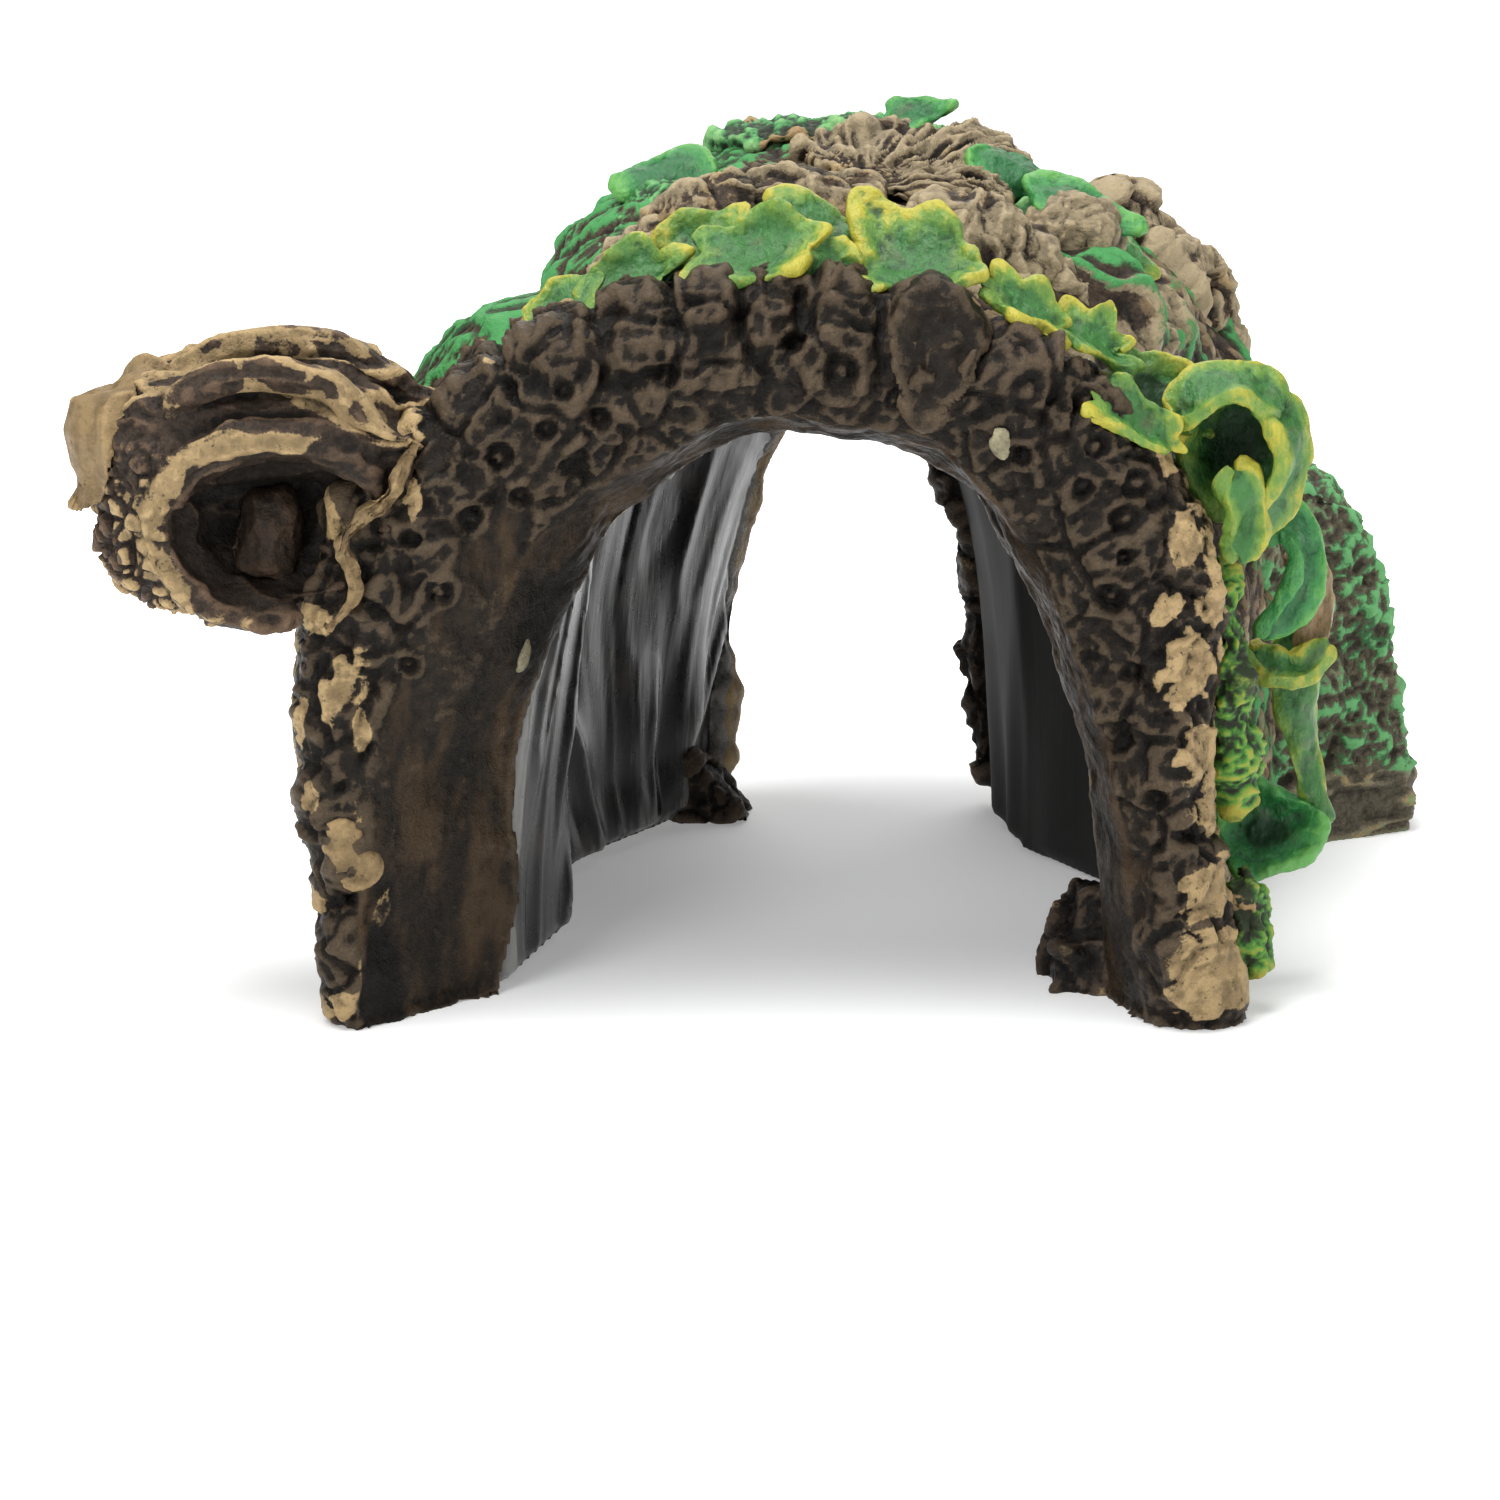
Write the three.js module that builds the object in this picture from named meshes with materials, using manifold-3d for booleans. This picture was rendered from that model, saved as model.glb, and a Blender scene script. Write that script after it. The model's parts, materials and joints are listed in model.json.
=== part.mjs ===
// Resin cave ornament: a hollow log arch for an aquarium or a small reptile tank.
//
// A thick bark arch frames the front mouth. A thin hollow log runs back from it over a dark resin
// lining, down to a smaller rear mouth. A broken branch stub stands out on the left, a mossy root
// carries the rear right corner, and bark knots, moss pads and leaves are fixed on the outside.
//
// Millimetres. X runs to the right as seen from the front mouth, Y into the log, Z up. The shapes are
// laid out from the middle of the front mouth, and the whole is then moved so that the origin lies
// on the ground under the centre of the ornament.

import * as THREE from 'three';
import { mergeVertices } from 'three/addons/utils/BufferGeometryUtils.js';
import Module from 'manifold-3d';

const wasm = await Module();
wasm.setup();

// ---------------------------------------------------------------- driving dimensions

const GAP = 0.3;            // clearance between one casting and the next
const SEAT = 1.15 * GAP;    // how far a seat is let back, so that the clearance holds on a bend too
const ARCH_DEPTH = 14;      // front arch, from its face to the log behind it
const LOG_BACK = 95;        // rear edge of the log
const LINING_THICKNESS = 1.6;
const LINING_STEP = 1.6;    // torn front edge of the lining, behind the log's front edge
const LINING_LIFT = 0.6;    // the lining hangs in the log and doesn't reach the ground
const LOG_STEPS = [28, 7, 1];
const ROOT_WALL = 5;        // wall of the hollow rear root
const LEAF_THICKNESS = 1.5;
const SLIVER = 0.03;        // facets of a cut edge smaller than this are merged

// Outline of the log at a few depths. Left and right are the sides at the ground, crown is the
// height, middle is where the crown stands, and the powers say how square each shoulder is.
const barkOutline = outlines([
  // depth, left, right, crown, middle, left power, right power
  [14, -38, 46, 71.5, 3, 2.3, 2.4],
  [32, -37, 51, 79, 4, 2.2, 2.6],
  [52, -36, 55, 83.5, 5, 2.2, 2.8],
  [70, -32, 59, 81.5, 6, 2.3, 3.0],
  [84, -25, 61, 74, 8, 2.4, 3.0],
  [96, -16, 56, 63, 10, 2.5, 3.0],
]);

// Outline of the tunnel inside the lining, at the same kind of stations.
const tunnelOutline = outlines([
  [14, -26, 38, 61.5, 5, 2.3, 2.4],
  [26, -23, 42, 68, 5, 2.3, 2.5],
  [40, -20, 45, 72, 5, 2.3, 2.6],
  [54, -23, 42, 73.5, 5, 2.3, 2.6],
  [68, -19, 33, 69, 7, 2.3, 2.5],
  [84, -10, 30, 59, 10, 2.3, 2.4],
  [96, -4, 29, 53, 12, 2.3, 2.4],
]);

// Front arch: outer edge, and the mouth's edge at the face and at the back, left foot to right foot.
const archOuter = new THREE.SplineCurve(points([
  [-42.5, 0], [-43.5, 15], [-45, 30], [-43.5, 45], [-37, 58], [-24, 68], [-8, 74.8], [9, 75.2],
  [25, 71], [38.5, 61.5], [46.5, 45], [46, 22], [50.5, 0],
]));
const mouthFront = new THREE.SplineCurve(points([
  [-37, 0], [-37, 12], [-35, 25], [-29, 36], [-23.5, 46], [-17, 54.5], [-6, 60.5], [7, 62],
  [19, 59], [28, 49], [34, 34], [38.5, 17], [40, 0],
]));
const mouthBack = new THREE.SplineCurve(points([
  [-26, 0], [-23.5, 10], [-25, 22], [-22.5, 34], [-17, 44.5], [-10.5, 52], [-2, 57.5], [7.5, 59.4],
  [17.5, 57.2], [25.5, 48.8], [31, 37], [36, 20], [37, 0],
]));

// ---------------------------------------------------------------- materials

const finishes = {
  arch_bark: paint(0x3b3029, 0.6),
  log_bark: paint(0x5a4a3a, 0.65),
  pale_bark: paint(0xa5875c, 0.6),
  branch_bark: paint(0x7d6647, 0.6),
  dark_resin: paint(0x2b2c2d, 0.35),
  moss: paint(0x1f7a3a, 0.75),
  leaf: paint(0x4f9a26, 0.5),
  leaf_dark: paint(0x157a35, 0.5),
  seed: paint(0x8f8a6c, 0.4),
};

function paint(color, roughness) {
  return new THREE.MeshStandardMaterial({ color, roughness, metalness: 0 });
}

// ---------------------------------------------------------------- shape helpers

function points(pairs) {
  return pairs.map(([x, z]) => new THREE.Vector2(x, z));
}

function outlines(stations) {
  const depths = stations.map((station) => station[0]);
  const values = stations.flatMap((station) => station.slice(1));
  return new THREE.CubicInterpolant(depths, values, stations[0].length - 1);
}

// A point of an outline: turn 0 is the left foot, 0.5 the crown and 1 the right foot. Swell moves
// the outline outwards.
function ringPoint(outline, depth, turn, swell = 0) {
  const [left, right, crown, middle, leftPower, rightPower] = outline.evaluate(depth);
  const angle = Math.PI * (1 - turn);
  const across = Math.cos(angle);
  const reach = across < 0 ? middle - left + swell : right - middle + swell;
  const power = across < 0 ? leftPower : rightPower;
  const x = middle + reach * Math.sign(across) * Math.abs(across) ** (2 / power);
  const z = (crown + swell) * Math.abs(Math.sin(angle)) ** (2 / power);
  return new THREE.Vector3(x, depth, turn === 0 || turn === 1 ? 0 : z);
}

// A point over the log's bark at a place seen from above, the given height over it.
function onRoof(x, y, over = 0) {
  const [left, right, crown, middle, leftPower, rightPower] = barkOutline.evaluate(y);
  const share = x < middle ? (middle - x) / (middle - left) : (x - middle) / (right - middle);
  const power = x < middle ? leftPower : rightPower;
  return [x, y, crown * (1 - Math.min(share, 1) ** power) ** (1 / power) + over];
}

// Smooth bumps between -1 and 1, about half a pitch across.
function bumps(p, pitch) {
  const k = (2 * Math.PI) / pitch;
  const first = Math.sin(p.x * k + 1.7 * Math.sin(p.y * k * 0.63 + 0.4));
  const second = Math.sin(p.y * k * 0.9 + 1.3 * Math.sin(p.z * k * 0.71 + 2.1));
  const third = Math.sin(p.z * k * 1.1 + 1.5 * Math.sin(p.x * k * 0.57 + 1.2));
  return (first + second + third) / 3;
}

// Moves every vertex of a closed geometry by a rule, with its seams merged first.
function warp(geometry, rule) {
  const bare = geometry.clone();
  bare.deleteAttribute('normal');
  bare.deleteAttribute('uv');
  const merged = mergeVertices(bare, 1e-4);
  const position = merged.attributes.position;
  const vertex = new THREE.Vector3();
  for (let i = 0; i < position.count; i += 1) {
    vertex.fromBufferAttribute(position, i);
    const moved = rule(vertex);
    position.setXYZ(i, moved.x, moved.y, moved.z);
  }
  return merged;
}

// A block of the given number of steps whose corners run from 0 to 1, warped to a shape.
function block(steps, rule) {
  const box = new THREE.BoxGeometry(1, 1, 1, ...steps);
  return warp(box, (p) => rule(p.x + 0.5, p.y + 0.5, p.z + 0.5));
}

// A mesh given in axes along, side and face is turned and moved to its place.
function placed(geometry, at, along, face) {
  const x = new THREE.Vector3(...along).normalize();
  const z = new THREE.Vector3(...face);
  z.addScaledVector(x, -z.dot(x)).normalize();
  const y = new THREE.Vector3().crossVectors(z, x);
  const matrix = new THREE.Matrix4().makeBasis(x, y, z).setPosition(...at);
  return geometry.clone().applyMatrix4(matrix);
}

// ---------------------------------------------------------------- solids and their seats

function facesOut(geometry) {
  const made = solidOf(geometry);
  if (made.volume() > 0) return geometry;
  const index = geometry.index.array;
  for (let i = 0; i < index.length; i += 3) [index[i + 1], index[i + 2]] = [index[i + 2], index[i + 1]];
  return geometry;
}

function solidOf(geometry) {
  return new wasm.Manifold(new wasm.Mesh({
    numProp: 3,
    vertProperties: new Float32Array(geometry.attributes.position.array),
    triVerts: new Uint32Array(geometry.index.array),
  }));
}

function geometryOf(solid) {
  const mesh = solid.getMesh();
  const geometry = new THREE.BufferGeometry();
  geometry.setAttribute('position', new THREE.BufferAttribute(new Float32Array(mesh.vertProperties), 3));
  geometry.setIndex(new THREE.BufferAttribute(new Uint32Array(mesh.triVerts), 1));
  return geometry;
}

// The same shape with its surface moved outwards by a distance, or inwards if it is negative.
function offset(geometry, distance) {
  const moved = geometry.clone();
  moved.computeVertexNormals();
  const { position, normal } = moved.attributes;
  const vertex = new THREE.Vector3();
  const away = new THREE.Vector3();
  for (let i = 0; i < position.count; i += 1) {
    away.fromBufferAttribute(normal, i);
    vertex.fromBufferAttribute(position, i).addScaledVector(away, distance);
    position.setXYZ(i, vertex.x, vertex.y, vertex.z);
  }
  moved.deleteAttribute('normal');
  return moved;
}

function cutOut(solid, cutters) {
  return cutters.reduce((left, cutter) => left.subtract(solidOf(cutter)), solid);
}

const ornament = new THREE.Group();
const seats = [];           // what is already fixed: each later piece is cut to sit on it

// Adds a solid to the ornament, and keeps the seat that later pieces are cut to sit on.
function place(name, finish, solid, geometry, hollows) {
  const mesh = new THREE.Mesh(geometryOf(solid), finishes[finish]);
  mesh.name = name;
  ornament.add(mesh);
  geometry.computeBoundingBox();
  const bounds = geometry.boundingBox.clone().expandByScalar(2 * GAP);
  const room = hollows.map((hollow) => offset(hollow, -SEAT));
  seats.push({ bounds, solid: cutOut(solidOf(offset(geometry, SEAT)), room) });
}

// Adds a main casting, which is drawn with its own gaps and needs no cutting.
function cast(name, finish, shape) {
  const geometry = facesOut(shape);
  place(name, finish, solidOf(geometry), geometry, []);
}

// Adds a piece, with hollows of its own, cut to sit on everything fixed before it. Only its largest
// part is kept.
function fix(name, finish, shape, hollowShapes = []) {
  const geometry = facesOut(shape);
  const hollows = hollowShapes.map(facesOut);
  geometry.computeBoundingBox();
  let solid = cutOut(solidOf(geometry), hollows);
  for (const seat of seats) {
    if (seat.bounds.intersectsBox(geometry.boundingBox)) solid = solid.subtract(seat.solid);
  }
  const parts = solid.simplify(SLIVER).decompose().sort((a, b) => b.volume() - a.volume());
  if (parts.length === 0) throw new Error(`${name} lies wholly inside its neighbours`);
  place(name, finish, parts[0], geometry, hollows);
}

// ---------------------------------------------------------------- castings

// The thick bark arch of the front mouth. Its face is rounded, and the mouth narrows inwards.
function frontArch() {
  return block([36, 2, 3], (turn, depth, wall) => {
    const inner = mouthFront.getPoint(turn).lerp(mouthBack.getPoint(turn), depth);
    const edge = inner.lerp(archOuter.getPoint(turn), wall);
    const rounding = 3 * (2 * wall - 1) ** 2;
    const p = new THREE.Vector3(edge.x, THREE.MathUtils.lerp(rounding, ARCH_DEPTH, depth), edge.y);
    const outside = wall * Math.sin(Math.PI * turn);
    const lump = bumps(p, 17);
    p.x += lump * outside * Math.cos(Math.PI * (1 - turn));
    p.z += lump * outside;
    if (depth < 0.25) p.y += 0.9 * bumps(p, 13);
    return p;
  });
}

function logDepth(share) {
  return THREE.MathUtils.lerp(ARCH_DEPTH + GAP, LOG_BACK, share);
}

// The hollow log: bark outside, shaped to the lining inside.
function logShell() {
  return block(LOG_STEPS, (turn, depth, wall) => {
    const y = logDepth(depth);
    const inside = ringPoint(tunnelOutline, y, turn, LINING_THICKNESS + 1.5 * GAP);
    const outside = ringPoint(barkOutline, y, turn);
    const lump = 1.1 * bumps(outside, 23) * Math.sin(Math.PI * turn);
    const away = new THREE.Vector3(Math.cos(Math.PI * (1 - turn)), 0, Math.sin(Math.PI * turn));
    outside.addScaledVector(away, lump);
    return inside.lerp(outside, wall);
  });
}

// The dark lining of the tunnel, with a torn front edge. Its rings lie inside the log's own rings.
function tunnelLining() {
  return block(LOG_STEPS, (turn, depth, wall) => {
    const torn = LINING_STEP + 1.1 * Math.sin(turn * 41) * Math.sin(turn * 17 + 1);
    const y = logDepth(depth) + (depth === 0 ? torn : 0);
    const p = ringPoint(tunnelOutline, y, turn, wall * LINING_THICKNESS);
    if (turn === 0 || turn === 1) p.z = LINING_LIFT;
    const run = wall === 0 ? 0.8 * Math.sin(y * 0.55 + turn * 4) * Math.sin(Math.PI * turn) : 0;
    p.x += (turn < 0.5 ? 1 : -1) * Math.max(run, -0.4);
    return p;
  });
}

// The mossy root at the rear right corner: a hollow wedge with a stepped top, open below.
function rearRoot(wall) {
  return block([5, 4, 6], (across, depth, up) => {
    const height = 44 - 5 * across * across - wall;
    const x = THREE.MathUtils.lerp(54 + wall, 78 - wall - 7 * up ** 1.5, across);
    const front = THREE.MathUtils.lerp(70, 83, across) + wall;
    const back = THREE.MathUtils.lerp(99, 97, across) - wall;
    const p = new THREE.Vector3(x, THREE.MathUtils.lerp(front, back - 5 * up, depth), height * up);
    const rough = wall === 0 && up > 0 ? 0.9 : 0;
    p.x += rough * bumps(p, 12) * across;
    p.y += rough * bumps(p, 11) * (1 - 2 * depth);
    if (wall > 0 && up === 0) p.z = -1;
    return p;
  });
}

// A rounded lump of bark with its own roughness. A higher power makes it more like a block.
function lump(radii, rough, detail = 2, power = 2) {
  return warp(new THREE.IcosahedronGeometry(1, detail), (p) => {
    const sum = [p.x, p.y, p.z].reduce((total, part) => total + Math.abs(part) ** power, 0);
    const round = sum ** (-1 / power);
    const size = round * (1 + rough * bumps(p.clone().multiplyScalar(10), 13));
    return new THREE.Vector3(p.x * radii[0], p.y * radii[1], p.z * radii[2]).multiplyScalar(size);
  });
}

// A rounded ridge along a line, thick in the middle and thin at its ends.
function ridge(line, radius) {
  const path = new THREE.CatmullRomCurve3(line.map((p) => new THREE.Vector3(...p)));
  const section = new THREE.Shape(new THREE.EllipseCurve(0, 0, radius, radius).getPoints(6).slice(0, 6));
  const bar = new THREE.ExtrudeGeometry(section, { extrudePath: path, steps: 12 });
  const ends = [path.getPoint(0), path.getPoint(1)];
  return warp(bar, (p) => {
    const nearEnd = Math.min(p.distanceTo(ends[0]), p.distanceTo(ends[1]));
    const thin = THREE.MathUtils.smoothstep(nearEnd, 0, 4 * radius);
    const centre = nearestOn(path, p);
    return p.clone().sub(centre).multiplyScalar(0.55 + 0.45 * thin).add(centre);
  });
}

function nearestOn(path, p) {
  const samples = path.getPoints(56);
  return samples.reduce((best, q) => (q.distanceTo(p) < best.distanceTo(p) ? q : best), samples[0]);
}

// A rounded pad that follows the log's bark between two turns and two depths, thickest in its middle.
function pad(turns, depths, thickness, steps) {
  return block([...steps, 1], (u, v, w) => {
    const a = 2 * u - 1;
    const b = 2 * v - 1;
    const turn = THREE.MathUtils.lerp(turns[0], turns[1], 0.5 + 0.5 * a * Math.sqrt(1 - 0.4 * b * b));
    const y = THREE.MathUtils.lerp(depths[0], depths[1], 0.5 + 0.5 * b * Math.sqrt(1 - 0.4 * a * a));
    const crown = Math.sqrt((1 - a * a) * (1 - b * b));
    const height = w === 0 ? -2 : 1 + thickness * (0.35 + 0.65 * crown);
    return ringPoint(barkOutline, y, turn, height + w * 0.5 * bumps(new THREE.Vector3(u * 30, y, 0), 12));
  });
}

// A fleshy leaf along +X with its face to +Z: cupped across, drooping to its tip, ruffled at the edge.
function leaf({ long, wide, cup = 0, droop = 0, ruffle = 0, lobes = 2 }) {
  return block([7, 4, 1], (u, v, w) => {
    const across = 2 * v - 1;
    const outline = 0.16 + 0.84 * Math.sin(Math.PI * (0.08 + 0.86 * u)) ** 0.7;
    const lobe = 1 + 0.14 * Math.cos(2 * Math.PI * lobes * u);
    const y = 0.5 * wide * outline * lobe * across;
    const edge = across * across;
    const z = cup * edge - droop * u * u + ruffle * edge * Math.sin(2 * Math.PI * 1.6 * u + across);
    return new THREE.Vector3(long * (u - 0.5), y, z + (w - 0.5) * LEAF_THICKNESS * (1 - 0.35 * edge));
  });
}

// ---------------------------------------------------------------- assembly: the log

cast('front_arch', 'arch_bark', frontArch());
cast('log_shell', 'log_bark', logShell());
cast('tunnel_lining', 'dark_resin', tunnelLining());
fix('rear_root', 'log_bark', rearRoot(0), [rearRoot(ROOT_WALL)]);

// Feet and jambs that stand on the ground.
fix('right_root_toe', 'dark_resin', block([3, 3, 3], (u, v, w) => {
  const taper = 1 - 0.55 * w;
  return new THREE.Vector3(36.4 + (u - 0.75) * 7 * taper, 20 + (v - 0.5) * 12 * taper, 10 * w);
}));
fix('rear_left_toe', 'dark_resin', block([3, 3, 3], (u, v, w) => {
  const taper = 1 - 0.6 * w;
  return new THREE.Vector3(-9 + u * 9 * taper, 87 + v * 7, 11 * w * (1 - 0.5 * u));
}));
fix('rear_left_jamb', 'pale_bark',
  ridge([[-5, 97, 3], [-4, 98, 16], [-3.5, 98, 30], [-0.5, 97.5, 42], [6, 97, 51]], 2.4));
fix('rear_right_jamb', 'dark_resin',
  ridge([[29, 96, 3], [28, 97.5, 14], [27.5, 97.5, 28], [25, 97.5, 40], [20, 97, 49]], 2.1));

// ---------------------------------------------------------------- assembly: the branch stub

const hollow = placed(lump([11.5, 8.5, 15], 0.05, 3), [-46, -6, 51.5], [1, 0.1, 0.06], [0.1, 1, 0]);
fix('branch_stub', 'branch_bark',
  placed(lump([18, 13.5, 12.6], 0.05, 4, 3.2), [-47.5, 11.5, 55], [1, 0.06, 0.08], [-0.08, 0, 1]), [hollow]);
fix('branch_tip', 'pale_bark',
  placed(lump([6.4, 8.5, 8.2], 0.05, 2, 2.3), [-62, 8.5, 59], [1, 0, -0.2], [0.2, 0, 1]));
fix('branch_core', 'branch_bark',
  placed(lump([4.2, 4, 6.5], 0.12), [-48, 6, 49.5], [1, 0, -0.3], [0.3, 0, 1]));
fix('hollow_rim', 'pale_bark', ridge([
  [-45, 1.5, 42.5], [-53, 0.5, 43.5], [-58.5, 0.5, 49], [-57, -1.5, 57], [-50, -2.5, 61.5],
  [-42, -1.5, 60.5], [-36, -0.5, 56],
], 1.7));
fix('upper_bark_fold', 'pale_bark', ridge([
  [-58.5, 3, 61], [-55.5, -0.5, 65], [-49, -1, 67], [-41, -0.5, 66], [-34, 0, 62],
], 1.6));
fix('top_bark_fold', 'pale_bark',
  ridge([[-57, 8, 66], [-50, 6, 68.6], [-41, 6.5, 68.8], [-31, 8, 67.5]], 1.8));
fix('junction_lip', 'pale_bark', ridge([
  [-33, 0.5, 60.5], [-35.5, -1.3, 55], [-40, -1.6, 50.5], [-38.5, -1.6, 46], [-42, -0.5, 41.5],
], 1.5));

// ---------------------------------------------------------------- assembly: bark on the log

fix('crown_knob', 'arch_bark', placed(lump([5.4, 4.4, 8], 0.07), [18.3, 3, 68.5], [1, 0, 0.1], [0, 0, 1]));
fix('roof_ledge', 'pale_bark',
  placed(lump([13, 5.5, 4.6], 0.1), onRoof(2, 29, 1.6), [1, 0.25, 0.06], [0, -0.2, 1]));
fix('roof_boulder_left', 'pale_bark',
  placed(lump([7.5, 5, 4], 0.1), onRoof(-9, 24, 1.4), [1, 0.1, 0.4], [0, -0.2, 1]));
fix('roof_boulder_middle', 'pale_bark',
  placed(lump([7.5, 5.5, 5], 0.1), onRoof(24, 23, 1.4), [1, 0, -0.3], [0, -0.4, 1]));
fix('roof_boulder_right', 'pale_bark',
  placed(lump([6.2, 5, 4.6], 0.1), onRoof(30.5, 17, 0.8), [1, 0, -0.35], [0, -0.5, 1]));
fix('knot_stub', 'pale_bark', placed(
  lump([5.2, 5, 5.2], 0.06), onRoof(35.5, 31, 1.6), [1, -0.3, -0.3], [0, -0.6, 1],
), [placed(lump([2.6, 2.6, 4], 0), [33.2, 26, 75.5], [1, -0.3, -0.3], [0, -1, 0.4])]);
fix('knot_stub_small', 'pale_bark',
  placed(lump([3.6, 4, 4.6], 0.08), onRoof(42.6, 33, 1), [1, -0.2, -0.5], [0, -0.4, 1]));
fix('roof_strips', 'pale_bark', pad([0.5, 0.62], [36, 58], 2, [6, 5]));
fix('shoulder_plate', 'pale_bark', pad([0.66, 0.79], [62, 82], 1.8, [6, 5]));
fix('rear_plate', 'log_bark', pad([0.36, 0.56], [68, 88], 1.8, [6, 5]));

// ---------------------------------------------------------------- assembly: moss

fix('moss_left_slope', 'moss', pad([0.27, 0.43], [26, 50], 1.2, [6, 5]));
fix('moss_top', 'moss', pad([0.44, 0.56], [52, 66], 1.6, [6, 4]));
fix('moss_right_shoulder', 'moss', pad([0.62, 0.72], [36, 58], 1.8, [6, 5]));
fix('moss_leg_strip', 'moss',
  placed(lump([2.6, 3.6, 13], 0.14), [48.2, 9, 34], [1, 0, 0.08], [-0.08, 0, 1]));
fix('moss_foot_sprig', 'moss',
  placed(lump([2.4, 3.4, 6.2], 0.14), [50.6, 8, 9.5], [1, 0, 0.1], [-0.1, 0, 1]));

// ---------------------------------------------------------------- assembly: leaves

// name, finish, place, way it points, way its face looks, shape
const leaves = [
  ['leaf_crown_1', 'leaf', [-18, 8, 72.2], [1, 0.2, 0.6], [-0.4, -0.7, 1],
    { long: 9, wide: 6, cup: 0.8, ruffle: 0.5 }],
  ['leaf_crown_2', 'leaf', [-11, 7, 74.8], [1, 0, 0.45], [-0.3, -0.8, 1],
    { long: 10, wide: 7, cup: 1.2, ruffle: 0.9 }],
  ['leaf_crown_3', 'leaf', [-5.5, 12, 78], [-1, 0.1, -0.25], [0, -0.8, 1],
    { long: 11, wide: 7, cup: 1, ruffle: 0.9 }],
  ['leaf_crown_4', 'leaf', [1, 7, 77], [1, 0, 0.25], [0, -0.9, 1],
    { long: 13, wide: 9, cup: 1.6, ruffle: 1.3 }],
  ['leaf_crown_5', 'leaf', [7.5, 12, 79.4], [1, 0, -0.15], [0, -0.9, 1],
    { long: 12, wide: 7, cup: 1.4, droop: 1, ruffle: 0.8 }],
  ['leaf_crown_6', 'leaf', [9, 4, 76.4], [1, -0.1, -0.35], [0, -1, 0.8],
    { long: 9, wide: 6.5, cup: -1.2, ruffle: 0.8 }],
  ['leaf_crown_7', 'leaf', [16, 8, 77.6], [1, -0.25, -0.1], [0, -0.9, 1],
    { long: 14, wide: 11, cup: 1.8, ruffle: 1.5, lobes: 3 }],
  ['leaf_vine_1', 'leaf', [27, 6, 72], [1, 0, -0.6], [0.4, -0.8, 1],
    { long: 11, wide: 6, cup: 1, ruffle: 0.9, lobes: 3 }],
  ['leaf_vine_2', 'leaf', [33.5, 8, 68.6], [1, 0, -0.5], [0.5, -0.6, 1],
    { long: 10, wide: 7, cup: 1, ruffle: 1, lobes: 3 }],
  ['leaf_vine_3', 'leaf', [41.5, 9, 65.4], [1, 0, -0.55], [0.5, -0.4, 1],
    { long: 13, wide: 10, cup: -2.6, droop: 1.5, ruffle: 0.7 }],
  ['leaf_vine_4', 'leaf', [37.5, 3, 62.1], [1, 0, -0.6], [0.3, -1, 0.5],
    { long: 11, wide: 5, cup: 0.8, ruffle: 0.7, lobes: 3 }],
  ['leaf_curl_top', 'leaf', [49, 9, 61], [1, 0, -0.7], [0.6, -0.2, 1],
    { long: 12, wide: 9, cup: -2.4, droop: 2.5 }],
  ['leaf_curl_side', 'leaf', [55, 10, 56.5], [-0.1, 0, -1], [1, -0.5, 0.1],
    { long: 14, wide: 8, cup: -1.8, droop: 2.6 }],
  ['leaf_paddle', 'leaf', [50.3, 5.8, 50.2], [0.05, -0.1, -1], [0.2, -1, 0.1],
    { long: 9.5, wide: 5.2, cup: -0.6 }],
  ['leaf_fold', 'leaf_dark', [55.5, 16, 44], [0.35, 0, -1], [0.5, -1, 0.2],
    { long: 13, wide: 7, cup: 1.4, droop: -1.4 }],
  ['leaf_fold_back', 'pale_bark', [58, 18.5, 41], [0.1, 0, -1], [1, -0.4, 0],
    { long: 10, wide: 6, cup: -1, droop: 1.2 }],
  ['leaf_horn', 'leaf', [57, 20, 27], [0.12, 0, -1], [0.7, -1, 0],
    { long: 19, wide: 5.4, cup: -1.4, droop: -1.8 }],
  ['leaf_horn_cup', 'leaf', [55.5, 18.5, 35.5], [1, -0.1, 0.12], [0, -0.6, 1],
    { long: 8, wide: 6, cup: 1 }],
  ['leaf_foot', 'leaf_dark', [54, 16, 16], [1, -0.2, 0.15], [0.3, -1, -0.4],
    { long: 10, wide: 9, cup: -2.4, droop: -1 }],
  ['leaf_top_left', 'leaf_dark', onRoof(-13, 42, 4), [-1, -0.2, -0.15], [-0.3, -0.9, 1],
    { long: 10, wide: 7, cup: -1.6, droop: 1, lobes: 2 }],
  ['leaf_left_edge', 'leaf_dark', onRoof(-26, 26, 2), [-1, -0.2, -0.6], [-0.6, -0.6, 1],
    { long: 7, wide: 4.5, cup: 0.6 }],
  ['leaf_summit', 'leaf_dark', onRoof(18.5, 54, 2.4), [1, 0, 0.15], [0, -0.8, 1],
    { long: 8, wide: 5, cup: 0.8, ruffle: 0.8 }],
  ['leaf_right_1', 'leaf_dark', onRoof(28.5, 44, 4), [1, -0.1, -0.5], [0.2, -0.8, 1],
    { long: 10, wide: 7, cup: -1.4, droop: 1 }],
  ['leaf_right_2', 'leaf', onRoof(37.5, 43, 4.4), [1, -0.1, -0.35], [0.4, -0.8, 1],
    { long: 9, wide: 6, cup: -1.6, droop: 1 }],
  ['leaf_knot_cap', 'leaf_dark', onRoof(35.5, 32, 6), [1, -0.2, -0.25], [0.1, -0.5, 1],
    { long: 11, wide: 7, cup: -1.4, droop: 1.2 }],
  ['leaf_right_3', 'leaf', onRoof(44.5, 38, 2.6), [0.8, -0.1, -1], [1, -0.6, 0.6],
    { long: 10, wide: 5.5, cup: -1, droop: 0.8 }],
];
for (const [name, finish, at, along, face, shape] of leaves) {
  fix(name, finish, placed(leaf(shape), at, along, face));
}

// ---------------------------------------------------------------- assembly: small finds set in the bark

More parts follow.
